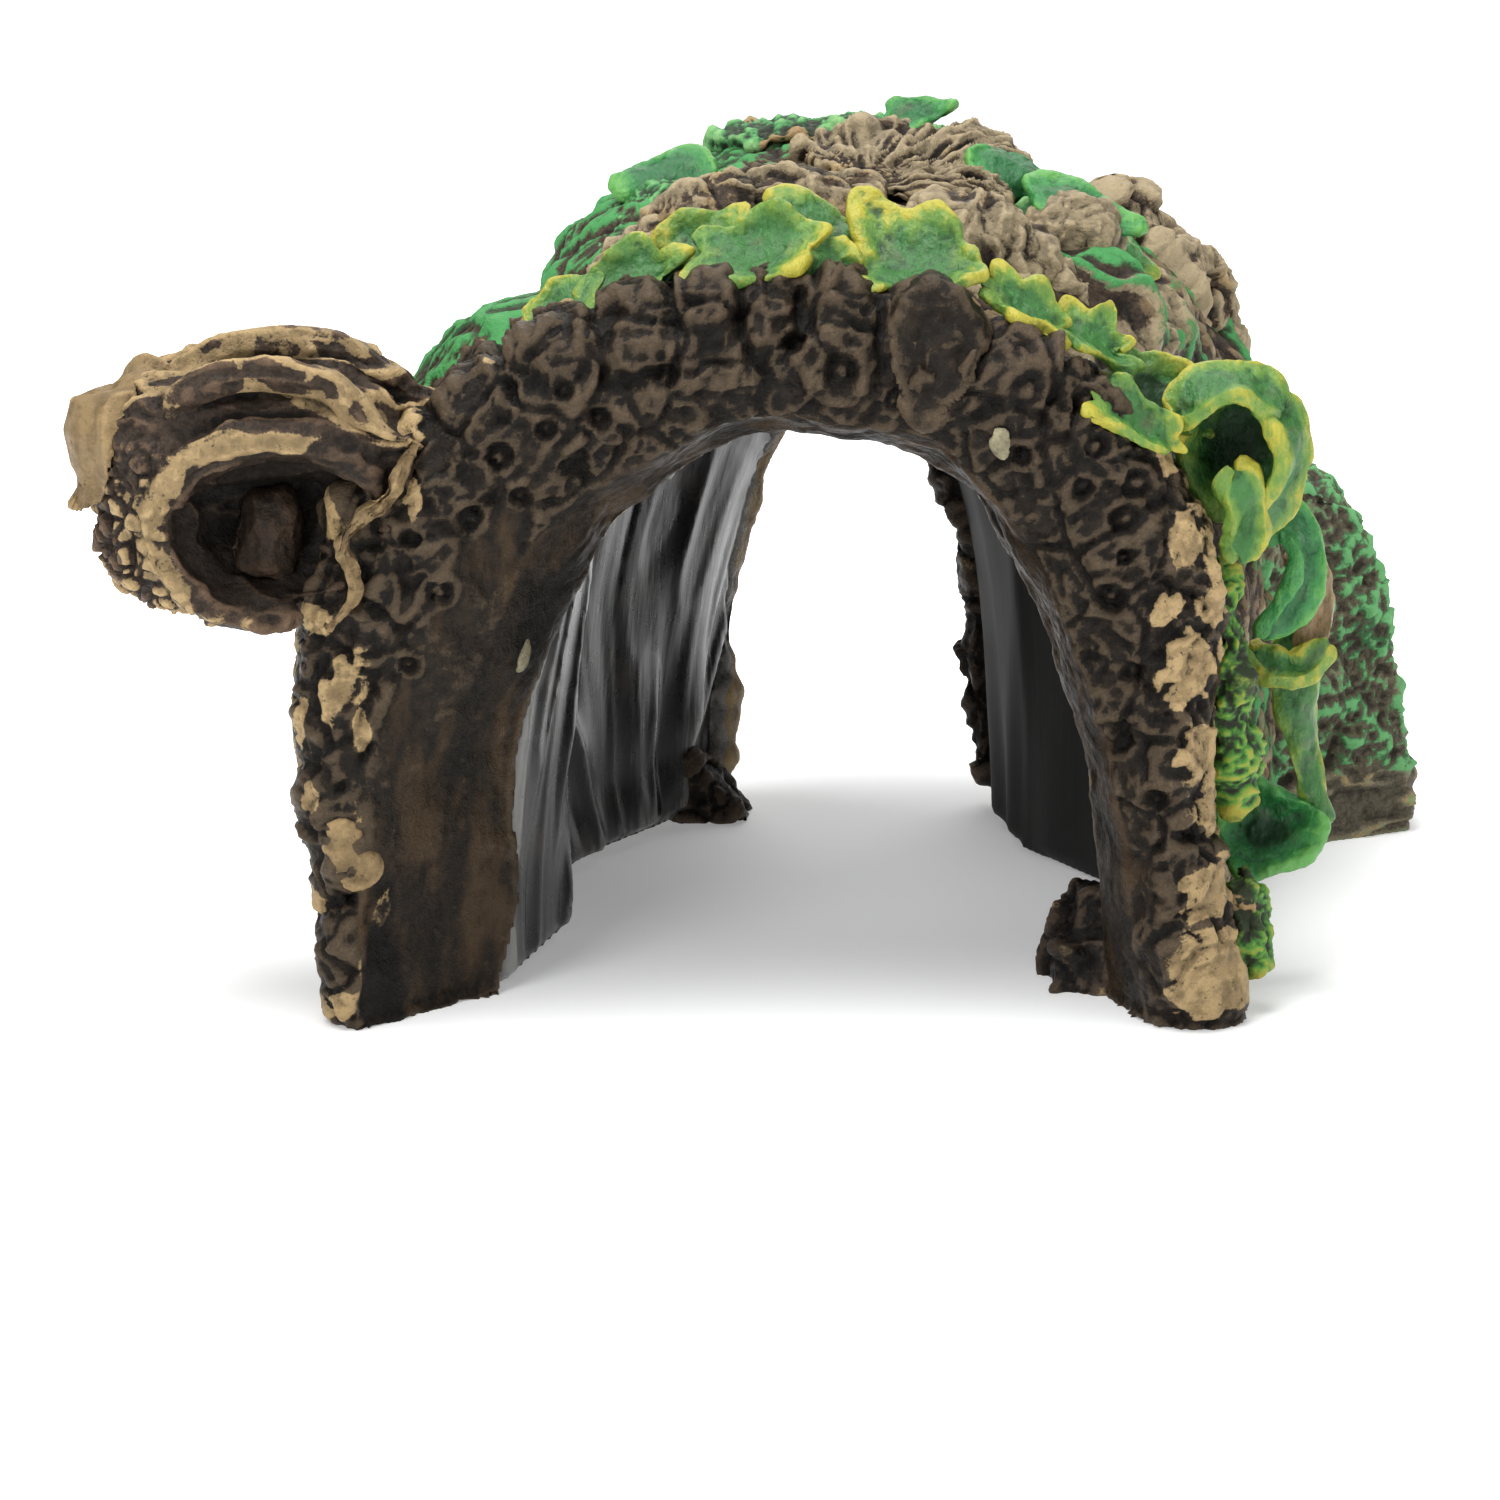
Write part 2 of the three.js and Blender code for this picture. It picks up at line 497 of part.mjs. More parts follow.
fix('seed_mouth', 'seed', placed(lump([1.1, 1.1, 2.1], 0), [-23.4, 8.6, 37.5], [1, 0, 0], [0, 0, 1]));
fix('seed_crown', 'seed', placed(lump([1, 1, 2], 0), [24.6, 0.6, 60.5], [1, 0, 0.2], [-0.2, 0, 1]));
fix('bud_foot', 'pale_bark',
  placed(lump([2.6, 2.2, 4.6], 0.05), [-40, 1.2, 19], [1, 0, 0.08], [-0.08, 0, 1]));

// ---------------------------------------------------------------- origin

// The origin goes on the ground, under the centre of the whole ornament.
const extent = new THREE.Box3().setFromObject(ornament);
const centre = extent.getCenter(new THREE.Vector3());
ornament.position.set(-centre.x, -centre.y, -extent.min.z);

export default ornament;
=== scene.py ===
import itertools
import json
import math

import bpy
import numpy as np
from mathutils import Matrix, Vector

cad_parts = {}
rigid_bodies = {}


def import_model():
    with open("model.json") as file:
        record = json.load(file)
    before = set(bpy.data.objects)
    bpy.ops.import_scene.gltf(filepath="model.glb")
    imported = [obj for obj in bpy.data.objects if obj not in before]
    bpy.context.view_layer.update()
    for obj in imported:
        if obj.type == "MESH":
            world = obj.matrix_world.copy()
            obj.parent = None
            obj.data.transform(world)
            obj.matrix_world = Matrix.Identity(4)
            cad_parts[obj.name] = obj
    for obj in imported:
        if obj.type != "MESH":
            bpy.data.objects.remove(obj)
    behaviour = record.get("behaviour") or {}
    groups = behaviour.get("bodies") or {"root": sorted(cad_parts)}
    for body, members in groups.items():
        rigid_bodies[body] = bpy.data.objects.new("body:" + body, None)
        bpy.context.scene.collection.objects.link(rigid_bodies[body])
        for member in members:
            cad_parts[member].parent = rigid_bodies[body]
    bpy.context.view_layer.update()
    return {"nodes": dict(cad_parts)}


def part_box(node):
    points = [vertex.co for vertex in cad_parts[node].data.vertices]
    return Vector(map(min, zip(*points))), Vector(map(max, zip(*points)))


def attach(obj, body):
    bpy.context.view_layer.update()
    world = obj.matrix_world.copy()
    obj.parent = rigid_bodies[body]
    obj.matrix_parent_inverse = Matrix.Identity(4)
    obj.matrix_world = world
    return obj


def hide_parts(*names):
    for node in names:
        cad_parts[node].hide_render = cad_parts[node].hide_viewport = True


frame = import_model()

bl_info = {
    "name": "Log Cave Ornament",
    "version": (1, 0, 0),
    "blender": (4, 5, 0),
    "location": "View3D > Sidebar > Log Cave",
    "description": "Sculpts and paints the bark, lining, moss and leaves of a cast log cave",
    "category": "Add Mesh",
}

# Places and sizes below are in millimetres from the middle of the front mouth, on the ground, with
# X to the right, Y into the log and Z up, unless a name says otherwise. The frame is in metres.
MM = 0.001
ARCH_LOW, ARCH_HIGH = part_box("front_arch")
ARCH_LEFT_FOOT = 45.1       # from the arch's lowest corner to the middle of the mouth
ARCH_FACE = 0.4             # how far the arch's bumps stand in front of its own face
MOUTH = np.array([ARCH_LOW.x / MM + ARCH_LEFT_FOOT, ARCH_LOW.y / MM + ARCH_FACE, 0.0])
MOUTH_CENTRE = (4.0, 26.0)  # X and Z of the middle of the mouth's opening


# ---------------------------------------------------------------- noise and distances

LATTICE_SIZE = 32
LATTICE = np.random.default_rng(11).random((LATTICE_SIZE,) * 3)


def noise(at, size, shift=0.0):
    """Smooth random waves between -1 and 1, each about `size` across."""
    place = at / size + shift
    cell = np.floor(place).astype(int)
    share = place - cell
    share = share * share * (3 - 2 * share)
    total = np.zeros(len(at))
    for corner in itertools.product((0, 1), repeat=3):
        weight = np.ones(len(at))
        for axis in range(3):
            weight *= share[:, axis] if corner[axis] else 1 - share[:, axis]
        i, j, k = ((cell[:, axis] + corner[axis]) % LATTICE_SIZE for axis in range(3))
        total += weight * LATTICE[i, j, k]
    return 2 * total - 1


def rough(at, size, octaves=3, shift=0.0):
    """Noise with finer and finer noise added to it."""
    total = np.zeros(len(at))
    for octave in range(octaves):
        total += noise(at, size / 2 ** octave, shift + 7.3 * octave) / 2 ** octave
    return total


def ridges(at, size, shift=0.0):
    """Thin crests, from 0 between them to 1 on them."""
    bent = at + 0.35 * size * noise(at, 0.8 * size, shift + 3.1)[:, None]
    crest = 1 - np.abs(noise(bent, size, shift)) * 2.4
    return np.clip(crest, 0, 1)


def cells(at, size, shift=0.0):
    """Splits space into cells: the distance to the wall, 0 on it, and a random number per cell."""
    place = at / size + shift
    cell = np.floor(place).astype(int)
    nearest = np.full(len(at), 9.0)
    second = np.full(len(at), 9.0)
    kind = np.zeros(len(at))
    for step in itertools.product((-1, 0, 1), repeat=3):
        i, j, k = ((cell[:, axis] + step[axis]) % LATTICE_SIZE for axis in range(3))
        seeds = np.stack([LATTICE[i, j, k], LATTICE[j, k, i], LATTICE[k, i, j]], axis=1)
        distance = np.linalg.norm(cell + step + seeds - place, axis=1)
        closer = distance < nearest
        second = np.where(closer, nearest, np.minimum(second, distance))
        kind = np.where(closer, LATTICE[i, k, j], kind)
        nearest = np.where(closer, distance, nearest)
    return second - nearest, kind


def step_up(value, low, high):
    """0 below low, 1 above high and smooth between."""
    share = np.clip((value - low) / (high - low), 0, 1)
    return share * share * (3 - 2 * share)


def blob(at, centre, radii):
    """1 at the centre of an ellipsoid, 0 at its surface and below 0 outside."""
    return 1 - np.linalg.norm((at - np.array(centre)) / np.array(radii), axis=1)


def facing_in(at, facing):
    """How far each normal points at the middle of the tunnel: 1 straight at it, -1 straight away."""
    x, z = at[:, 0], at[:, 2]
    inward = np.stack([MOUTH_CENTRE[0] - x, np.zeros(len(x)), MOUTH_CENTRE[1] - z], axis=1)
    inward /= np.linalg.norm(inward, axis=1)[:, None]
    return (facing * inward).sum(axis=1)


def along(at, line):
    """Distance to a line through the given points, and how far along it, from 0 to 1."""
    best = np.full(len(at), 1e9)
    share = np.zeros(len(at))
    pieces = len(line) - 1
    for number, (start, end) in enumerate(zip(line, line[1:])):
        start, end = np.array(start, float), np.array(end, float)
        way = end - start
        t = np.clip(((at - start) @ way) / (way @ way), 0, 1)
        distance = np.linalg.norm(at - start - t[:, None] * way, axis=1)
        share = np.where(distance < best, (number + t) / pieces, share)
        best = np.minimum(best, distance)
    return best, share


# ---------------------------------------------------------------- meshes

def deselect():
    for other in bpy.context.view_layer.objects:
        other.select_set(False)


def make_active(piece):
    deselect()
    piece.select_set(True)
    bpy.context.view_layer.objects.active = piece


def apply(piece, kind, **settings):
    """Adds a modifier with these settings and applies it."""
    make_active(piece)
    bpy.ops.object.modifier_add(type=kind)
    modifier = piece.modifiers[-1]
    for name, value in settings.items():
        setattr(modifier, name, value)
    bpy.ops.object.modifier_apply(modifier=modifier.name)


def copy_of(node, name):
    """A copy of a frame solid, with its loose triangles merged."""
    piece = bpy.data.objects.new(name, frame["nodes"][node].data.copy())
    bpy.context.scene.collection.objects.link(piece)
    piece.data.materials.clear()
    make_active(piece)
    bpy.ops.object.mode_set(mode="EDIT")
    bpy.ops.mesh.select_all(action="SELECT")
    bpy.ops.mesh.remove_doubles(threshold=0.00001)
    bpy.ops.object.mode_set(mode="OBJECT")
    return piece


def clay(node, name, grain, rounding):
    """A frame solid as fine clay: even faces of about `grain`, with its edges rounded."""
    piece = copy_of(node, name)
    apply(piece, "REMESH", mode="VOXEL", voxel_size=grain * MM, use_smooth_shade=True)
    if rounding:
        apply(piece, "SMOOTH", factor=0.5, iterations=rounding)
    return piece


def joined_clay(nodes, name, grain, rounding, swell):
    """Several frame solids as one piece of fine clay. Swell closes the gaps between them."""
    parts = [copy_of(node, name) for node in nodes]
    for part in parts:
        apply(part, "DISPLACE", strength=swell * MM, mid_level=0.0)
    make_active(parts[0])
    for part in parts:
        part.select_set(True)
    bpy.ops.object.join()
    piece = bpy.context.active_object
    apply(piece, "REMESH", mode="VOXEL", voxel_size=grain * MM, use_smooth_shade=True)
    apply(piece, "SMOOTH", factor=0.5, iterations=rounding)
    return piece


def places(mesh):
    """Every vertex's place in millimetres from the middle of the mouth, and its normal."""
    at = np.empty(len(mesh.vertices) * 3)
    mesh.vertices.foreach_get("co", at)
    facing = np.empty(len(mesh.vertices) * 3)
    mesh.vertex_normals.foreach_get("vector", facing)
    return at.reshape(-1, 3) / MM - MOUTH, facing.reshape(-1, 3)


def put(mesh, at):
    """Moves every vertex to its new place. Nothing goes below the ground."""
    row = (at + MOUTH) * MM
    row[:, 2] = np.maximum(row[:, 2], 0.0)
    mesh.vertices.foreach_set("co", row.ravel())
    mesh.update()


def averaged(mesh, values, rounds):
    """Each vertex's value as the mean of its neighbours' values, over and over."""
    edges = np.empty(len(mesh.edges) * 2, int)
    mesh.edges.foreach_get("vertices", edges)
    one, other = edges.reshape(-1, 2).T
    count = len(mesh.vertices)
    links = np.bincount(one, minlength=count) + np.bincount(other, minlength=count)
    columns = [values] if values.ndim == 1 else list(values.T)
    done = []
    for column in columns:
        for _ in range(rounds):
            total = np.bincount(one, column[other], count) + np.bincount(other, column[one], count)
            column = total / np.maximum(links, 1)
        done.append(column)
    return done[0] if values.ndim == 1 else np.stack(done, axis=1)


def remember(mesh, **layers):
    """Stores numbers per vertex for the paint to read."""
    for name, values in layers.items():
        layer = mesh.attributes.get(name) or mesh.attributes.new(name, "FLOAT", "POINT")
        layer.data.foreach_set("value", np.asarray(values, np.float32))


FINE_RELIEF = 0.13      # millimetres: a bump this far over its near surroundings is fully brushed
BROAD_RELIEF = 0.75     # and this far over its wider surroundings
NEAR_ROUNDS = 4         # how often a place is averaged with its neighbours for its near surroundings
WIDE_ROUNDS = 24        # and for its wider surroundings


def sculpt(piece, rule, swell=0.0):
    """Moves the clay's surface by a rule, and stores where it's raised or hollow for the paint.

    The rule takes places and normals, and gives a height in millimetres, and layers of paint.
    """
    mesh = piece.data
    at, facing = places(mesh)
    height, paint = rule(at, facing)
    at = at + facing * (height + swell)[:, None]
    put(mesh, at)
    at, facing = places(mesh)
    fine = ((at - averaged(mesh, at, NEAR_ROUNDS)) * facing).sum(axis=1)
    broad = ((at - averaged(mesh, at, WIDE_ROUNDS)) * facing).sum(axis=1)
    layers = {"fine": np.clip(fine / FINE_RELIEF, -1, 1), "broad": np.clip(broad / BROAD_RELIEF, -1, 1)}
    for name in ("tan", "green", "dark", "smooth"):
        if name not in mesh.attributes:
            layers[name] = np.zeros(len(at))
    layers.update(paint)
    remember(mesh, **layers)


def finish_piece(piece, material, slot, *nodes):
    """Gives a finished piece its paint and its body, and hides the frame solids that it stands for."""
    piece.data.materials.clear()
    piece.data.materials.append(material)
    for polygon in piece.data.polygons:
        polygon.use_smooth = True
    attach(piece, "root")
    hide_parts(*nodes)
    return piece


# Pieces that sit a little off their frame solids, because the sculpted roof under them is fuller.
CAST_SHIFTS = {
    "knot_stub": (-1.5, 6, 7.2),
    "knot_stub_small": (-1, 4, 5),
    "roof_boulder_right": (-0.5, 9, 7.5),
    "roof_boulder_middle": (0, 3, 3.5),
}


def cast_piece(node, rule, material, slot, grain, rounding=2, swell=None):
    """Models a cast piece from its frame solid: fine clay, sculpted by a rule and painted.

    Grain is the clay's in millimetres, and rounding is how many times its edges are smoothed.
    """
    piece = clay(node, "cast_" + node, grain, rounding)
    if node in CAST_SHIFTS:
        put(piece.data, places(piece.data)[0] + CAST_SHIFTS[node])
    if swell is None:
        swell = bpy.context.scene.log_cave_bark.swell / MM
    sculpt(piece, rule, swell)
    return finish_piece(piece, material, slot, node)


# ---------------------------------------------------------------- paint

def srgb(code):
    """A colour code such as 0x3B3029 as linear red, green, blue and alpha."""
    shares = [((code >> shift) & 255) / 255 for shift in (16, 8, 0)]
    linear = [c / 12.92 if c <= 0.04045 else ((c + 0.055) / 1.055) ** 2.4 for c in shares]
    return (*linear, 1.0)


def tinted(colour, share):
    """A colour made darker or lighter."""
    return tuple(min(share * c, 1.0) for c in tuple(colour)[:3]) + (1.0,)


STAIN = srgb(0x57442F)      # the warm brown stain down the arch's smooth inside


class Paint:
    """A material being mixed, layer by layer, from the sculpted layers and from fine noise."""

    def __init__(self, name, roughness=0.55, shine=0.35):
        self.material = bpy.data.materials.new(name)
        self.material.use_nodes = True
        self.tree = self.material.node_tree
        self.shader = self.tree.nodes["Principled BSDF"]
        self.shader.inputs["Roughness"].default_value = roughness
        self.shader.inputs["Specular IOR Level"].default_value = shine
        self.coordinates = self.tree.nodes.new("ShaderNodeTexCoord").outputs["Object"]
        self.colour = None

    def link(self, start, end):
        self.tree.links.new(start, end)

    def maths(self, operation, first, second=None, third=None):
        node = self.tree.nodes.new("ShaderNodeMath")
        node.operation = operation
        for socket, value in zip(node.inputs, (first, second, third)):
            if value is None:
                continue
            if isinstance(value, (int, float)):
                socket.default_value = value
            else:
                self.link(value, socket)
        return node.outputs[0]

    def layer(self, name):
        node = self.tree.nodes.new("ShaderNodeAttribute")
        node.attribute_name = name
        return node.outputs["Fac"]

    def noise(self, size, detail=3.0, stretch=(1, 1, 1), rough=0.6, distortion=0.0):
        """Noise from 0 to 1 with features of about size millimetres."""
        mapping = self.tree.nodes.new("ShaderNodeMapping")
        mapping.inputs["Scale"].default_value = stretch
        self.link(self.coordinates, mapping.inputs["Vector"])
        node = self.tree.nodes.new("ShaderNodeTexNoise")
        node.inputs["Scale"].default_value = 1 / (size * MM)
        node.inputs["Detail"].default_value = detail
        node.inputs["Roughness"].default_value = rough
        node.inputs["Distortion"].default_value = distortion
        self.link(mapping.outputs[0], node.inputs["Vector"])
        return node.outputs["Fac"]

    def ramp(self, value, low, high):
        """0 below low and 1 above high."""
        node = self.tree.nodes.new("ShaderNodeMapRange")
        node.interpolation_type = "SMOOTHSTEP"
        node.inputs["From Min"].default_value = low
        node.inputs["From Max"].default_value = high
        self.link(value, node.inputs["Value"])
        return node.outputs["Result"]

    def share(self, first, second):
        """One share of another."""
        return self.maths("MULTIPLY", first, second)

    def relief(self, size, strength):
        """How far the surface stands out, in bumps and in lumps, broken up by noise."""
        return self.broken(self.maths("ADD", self.layer("fine"), self.layer("broad")), size, strength)

    def broken(self, value, size, strength):
        """A value whose edge is broken up by noise."""
        shift = self.maths("SUBTRACT", self.noise(size, 4.0), 0.5)
        return self.maths("MULTIPLY_ADD", shift, strength, value)

    def brush(self, colour, share=None):
        """Lays a colour over what is there, where share is 1."""
        colour = tuple(colour)
        if self.colour is None:
            self.colour = colour
            return
        mix = self.tree.nodes.new("ShaderNodeMix")
        mix.data_type = "RGBA"
        if isinstance(share, (int, float)):
            mix.inputs[0].default_value = share
        else:
            self.link(share, mix.inputs[0])
        if isinstance(self.colour, tuple):
            mix.inputs[6].default_value = self.colour
        else:
            self.link(self.colour, mix.inputs[6])
        mix.inputs[7].default_value = colour
        self.colour = mix.outputs[2]

    def glaze(self, colour, value, low, high, strength):
        """Lays a colour where a value rises from low to high, at most at this strength."""
        self.brush(colour, self.share(self.ramp(value, low, high), strength))

    def rough_between(self, share, low, high):
        """Roughness that goes from low to high with a share."""
        node = self.tree.nodes.new("ShaderNodeMapRange")
        node.inputs["To Min"].default_value = low
        node.inputs["To Max"].default_value = high
        self.link(share, node.inputs["Value"])
        self.link(node.outputs["Result"], self.shader.inputs["Roughness"])

    def bump(self, value, depth, previous=None):
        """Fine relief from a value, depth in millimetres."""
        node = self.tree.nodes.new("ShaderNodeBump")
        node.inputs["Strength"].default_value = 1.0
        node.inputs["Distance"].default_value = depth * MM
        self.link(value, node.inputs["Height"])
        if previous is not None:
            self.link(previous, node.inputs["Normal"])
        return node.outputs["Normal"]

    def done(self, normal=None):
        if isinstance(self.colour, tuple):
            self.shader.inputs["Base Color"].default_value = self.colour
        else:
            self.link(self.colour, self.shader.inputs["Base Color"])
        if normal is not None:
            self.link(normal, self.shader.inputs["Normal"])
        return self.material


def bark_paint(name, body, warm, wash_and_shade, brushed, patch, brush_low=0.3, brush_high=1.3, green=None,
               gloss=0.42, shine=0.17):
    """Cast bark: a body colour, dark wash and painted shade in the hollows, lighter paint brushed over
    the ridges.

    The brush starts to leave paint at the relief brush_low, and covers at brush_high. Patch is the
    paint where the "tan" layer is, and green is two mosses for where the "green" layer is.
    """
    paint = Paint(name, shine=shine)
    grit = paint.noise(0.75, 5.0, rough=0.7)
    relief = paint.relief(0.6, 1.5)
    relief = paint.broken(relief, 0.28, 1.8)

    paint.brush(body)
    paint.brush(warm, paint.ramp(paint.noise(4.0, 5.0), 0.40, 0.66))
    paint.glaze(wash_and_shade, grit, 0.58, 0.40, 0.55)
    paint.glaze(brushed, relief, brush_low, brush_high, 0.85)
    paint.glaze(tinted(brushed, 2.0), relief, brush_high - 0.1, brush_high + 1.2, 0.6)
    stain = paint.share(paint.layer("smooth"), paint.noise(4.5, 3.0, stretch=(1, 1, 0.3)))
    paint.glaze(STAIN, stain, 0.42, 0.70, 0.5)

    worn = paint.broken(paint.broken(paint.layer("tan"), 1.6, 0.8), 0.3, 0.5)
    worn = paint.maths("MULTIPLY_ADD", paint.ramp(relief, -0.5, 1.1), 0.34, worn)
    patched = paint.share(paint.ramp(worn, 0.54, 0.84), paint.ramp(grit, 0.30, 0.44))
    paint.brush(patch, patched)
    paint.glaze(tinted(patch, 0.55), paint.noise(1.8, 5.0), 0.35, 0.7, patched)
    paint.glaze(tinted(patch, 1.35), relief, 0.5, 2.0, patched)

    if green is not None:
        mossy = paint.broken(paint.layer("green"), 1.1, 0.8)
        mossy = paint.ramp(paint.maths("MULTIPLY_ADD", relief, 0.30, mossy), 0.50, 0.95)
        paint.brush(green[0], mossy)
        paint.glaze(green[1], paint.broken(relief, 0.8, 0.8), 0.3, 1.6, mossy)

    # Dark wash in the hollows, laid near-black: partly real wash, partly painted shade.
    paint.glaze(wash_and_shade, relief, -0.2, -1.7, 0.88)
    # The "dark" layer in the same colour: dark knots and gaps, and the painted shade that some rules lay
    # under ledges and in hollows.
    paint.glaze(wash_and_shade, paint.broken(paint.layer("dark"), 1.4, 0.4), 0.3, 0.9, 0.9)
    paint.rough_between(paint.ramp(paint.noise(1.2, 3.0), 0.3, 0.7), gloss, gloss + 0.2)
    lumps = paint.bump(paint.noise(1.5, 5.0, rough=0.65), 0.42)
    return paint.done(paint.bump(grit, 0.12, lumps))


def moss_paint(name, deep, mid, bright, tips):
    """Moss: dark between the fibres, green on them and light on their tips."""
    paint = Paint(name, roughness=0.6)
    relief = paint.relief(0.6, 1.5)
    cover = paint.ramp(paint.broken(paint.layer("green"), 2.4, 1.0), 0.3, 0.6)
    paint.brush(deep)
    for colour, low, high in ((mid, -0.4, 0.5), (bright, 0.0, 1.3), (tips, 0.8, 2.2)):
        paint.glaze(colour, relief, low, high, cover)
    bare = paint.ramp(paint.broken(paint.layer("tan"), 1.4, 0.6), 0.5, 0.7)
    paint.brush(srgb(0x9A7F58), paint.share(bare, paint.ramp(relief, 0.0, 0.7)))
    paint.brush(srgb(0x23211B), paint.ramp(relief, -0.4, -1.3))
    lumps = paint.bump(paint.noise(1.1, 5.0, rough=0.7), 0.4)
    return paint.done(paint.bump(paint.noise(0.45, 4.0), 0.10, lumps))


def leaf_paint(name, inner, outer, edge, shade):
    """A leaf: green inside, brushed with yellow towards its rim, dark in its folds."""
    paint = Paint(name, roughness=0.42, shine=0.45)
    streaks = paint.noise(0.9, 5.0, stretch=(1, 1, 0.4), rough=0.7)
    blots = paint.noise(3.2, 3.0)
    relief = paint.maths("ADD", paint.layer("fine"), paint.layer("broad"))
    rim = paint.maths("MULTIPLY_ADD", paint.maths("SUBTRACT", streaks, 0.5), 1.1, paint.layer("rim"))
    rim = paint.maths("MULTIPLY_ADD", paint.maths("SUBTRACT", blots, 0.5), 1.3, rim)
    rim = paint.maths("MULTIPLY_ADD", relief, 0.14, rim)

    paint.brush(inner)
    paint.glaze(srgb(0x55573F), blots, 0.5, 0.68, 0.55)
    paint.glaze(shade, streaks, 0.50, 0.34, 0.6)
    paint.brush(outer, paint.ramp(rim, 0.25, 0.85))
    paint.glaze(edge, rim, 0.78, 1.3, 0.85)
    paint.glaze(shade, paint.broken(relief, 0.8, 0.8), -0.35, -1.6, 0.9)
    paint.brush(shade, paint.ramp(paint.broken(paint.layer("dark"), 1.2, 0.5), 0.45, 0.8))
    paint.rough_between(paint.noise(1.5), 0.3, 0.55)
    return paint.done(paint.bump(streaks, 0.30, paint.bump(paint.noise(1.6, 4.0), 0.5)))


def resin_paint(body, streak_and_highlight):
    """The lining's bare resin: glossy and dark, with light streaks down its folds that are partly
    painted highlight on their crests, and painted shade in their hollows.
    """
    paint = Paint("dark_resin", roughness=0.3, shine=0.4)
    relief = paint.relief(1.0, 0.5)
    strokes = paint.noise(0.9, 4.0, stretch=(1, 1, 0.10))
    light = paint.maths("MULTIPLY_ADD", paint.maths("SUBTRACT", strokes, 0.5), 1.3, paint.layer("pale"))
    light = paint.maths("MULTIPLY_ADD", relief, 0.18, light)
    paint.brush(body)
    paint.brush(srgb(0x39332C), paint.ramp(paint.noise(9.0, 3.0), 0.5, 0.75))
    # Light streaks: real brush strokes, and painted highlight where the pale layer is.
    paint.glaze(streak_and_highlight, light, 0.35, 1.1, 0.85)
    # Painted shade in the hollows of the folds.
    paint.brush(srgb(0x0F0F10), paint.ramp(relief, -0.3, -1.1))
    paint.brush(srgb(0x0E0C0B), paint.share(paint.layer("right"), 0.85))
    matt = paint.maths("MULTIPLY_ADD", paint.noise(2.2), 0.25, paint.layer("right"))
    paint.rough_between(matt, 0.22, 0.75)
    return paint.done(paint.bump(strokes, 0.05))


# ---------------------------------------------------------------- bark shapes

# Ring-shaped pits in the arch's face: X, Z and radius.
ARCH_PITS = (
    (38.1, 55.9, 1.6), (37.0, 52.4, 1.7), (34.2, 59.8, 1.3), (26.8, 65.2, 1.8), (26.8, 58.6, 1.0),
    (33.1, 64.0, 1.2), (36.8, 48.8, 0.9), (32.7, 55.5, 1.2), (35.8, 44.6, 1.7), (37.9, 36.8, 1.2),
    (36.2, 30.0, 2.0), (-24.6, 58.8, 1.5), (-19.9, 61.6, 1.2), (-27.6, 52.6, 1.4), (-22.6, 54.6, 1.1),
    (-30.7, 45.5, 1.3), (-33.2, 50.6, 1.1), (-18.2, 65.4, 1.0), (-14.7, 62.6, 1.1), (8.8, 67.4, 1.9),
    (4.4, 70.0, 1.2), (-8.2, 66.8, 1.3), (14.2, 64.4, 1.0), (-34.0, 38.0, 1.0), (40.6, 24.0, 1.2),
)
# A pit's raised rim, its groove, its sunken middle and the dot there: height, distance from the
# middle and width, the last two in shares of the pit's radius.
PIT_RINGS = ((0.32, 1.15, 0.28), (-0.85, 0.62, 0.3), (-0.35, 0.0, 0.5), (0.30, 0.0, 0.22))
# Blocks of bark along the crown: X, Z, half width, half height and how far they stand out.
ARCH_BLOCKS = (
    (-27.5, 64.5, 4.0, 4.0, 0.9), (-19.6, 69.5, 5.2, 3.4, 1.3), (-10.8, 71.2, 2.9, 4.6, 1.0),
    (-4.4, 73.8, 3.3, 3.0, 1.5), (1.9, 71.8, 2.7, 3.2, 0.9), (8.8, 73.6, 3.6, 2.2, 1.1),
    (8.4, 67.6, 4.2, 4.0, 1.1), (27.5, 68.6, 4.0, 4.0, 0.9), (35.0, 61.8, 4.4, 3.4, 0.8),
    (-39.5, 53.0, 3.6, 5.0, 1.2), (-37.0, 44.0, 3.0, 3.4, 0.8), (40.6, 50.0, 3.4, 4.0, 0.8),
    (-39.6, 35.0, 2.6, 3.2, 0.6), (-40.6, 8.0, 2.4, 4.6, 0.9), (42.4, 8.0, 4.0, 6.0, 0.9),
)
# Deep cracks between them, from the outer edge down into the face: X and Z of their ends.
ARCH_CRACKS = (
    ((-15.3, 73.5), (-14.2, 66.0)), ((-7.6, 75.5), (-7.2, 65.0)), ((-0.7, 76.0), (-1.0, 68.5)),
    ((12.6, 75.0), (12.4, 64.0)), ((5.0, 74.8), (4.6, 71.5)), ((23.6, 73.0), (21.0, 62.5)),
    ((-24.6, 70.0), (-22.8, 64.6)), ((31.0, 68.0), (28.4, 62.0)), ((-38.5, 29.0), (-41.5, 24.4)),
    ((-39.0, 14.0), (-43.0, 12.6)), ((43.0, 20.4), (48.0, 19.0)),
)
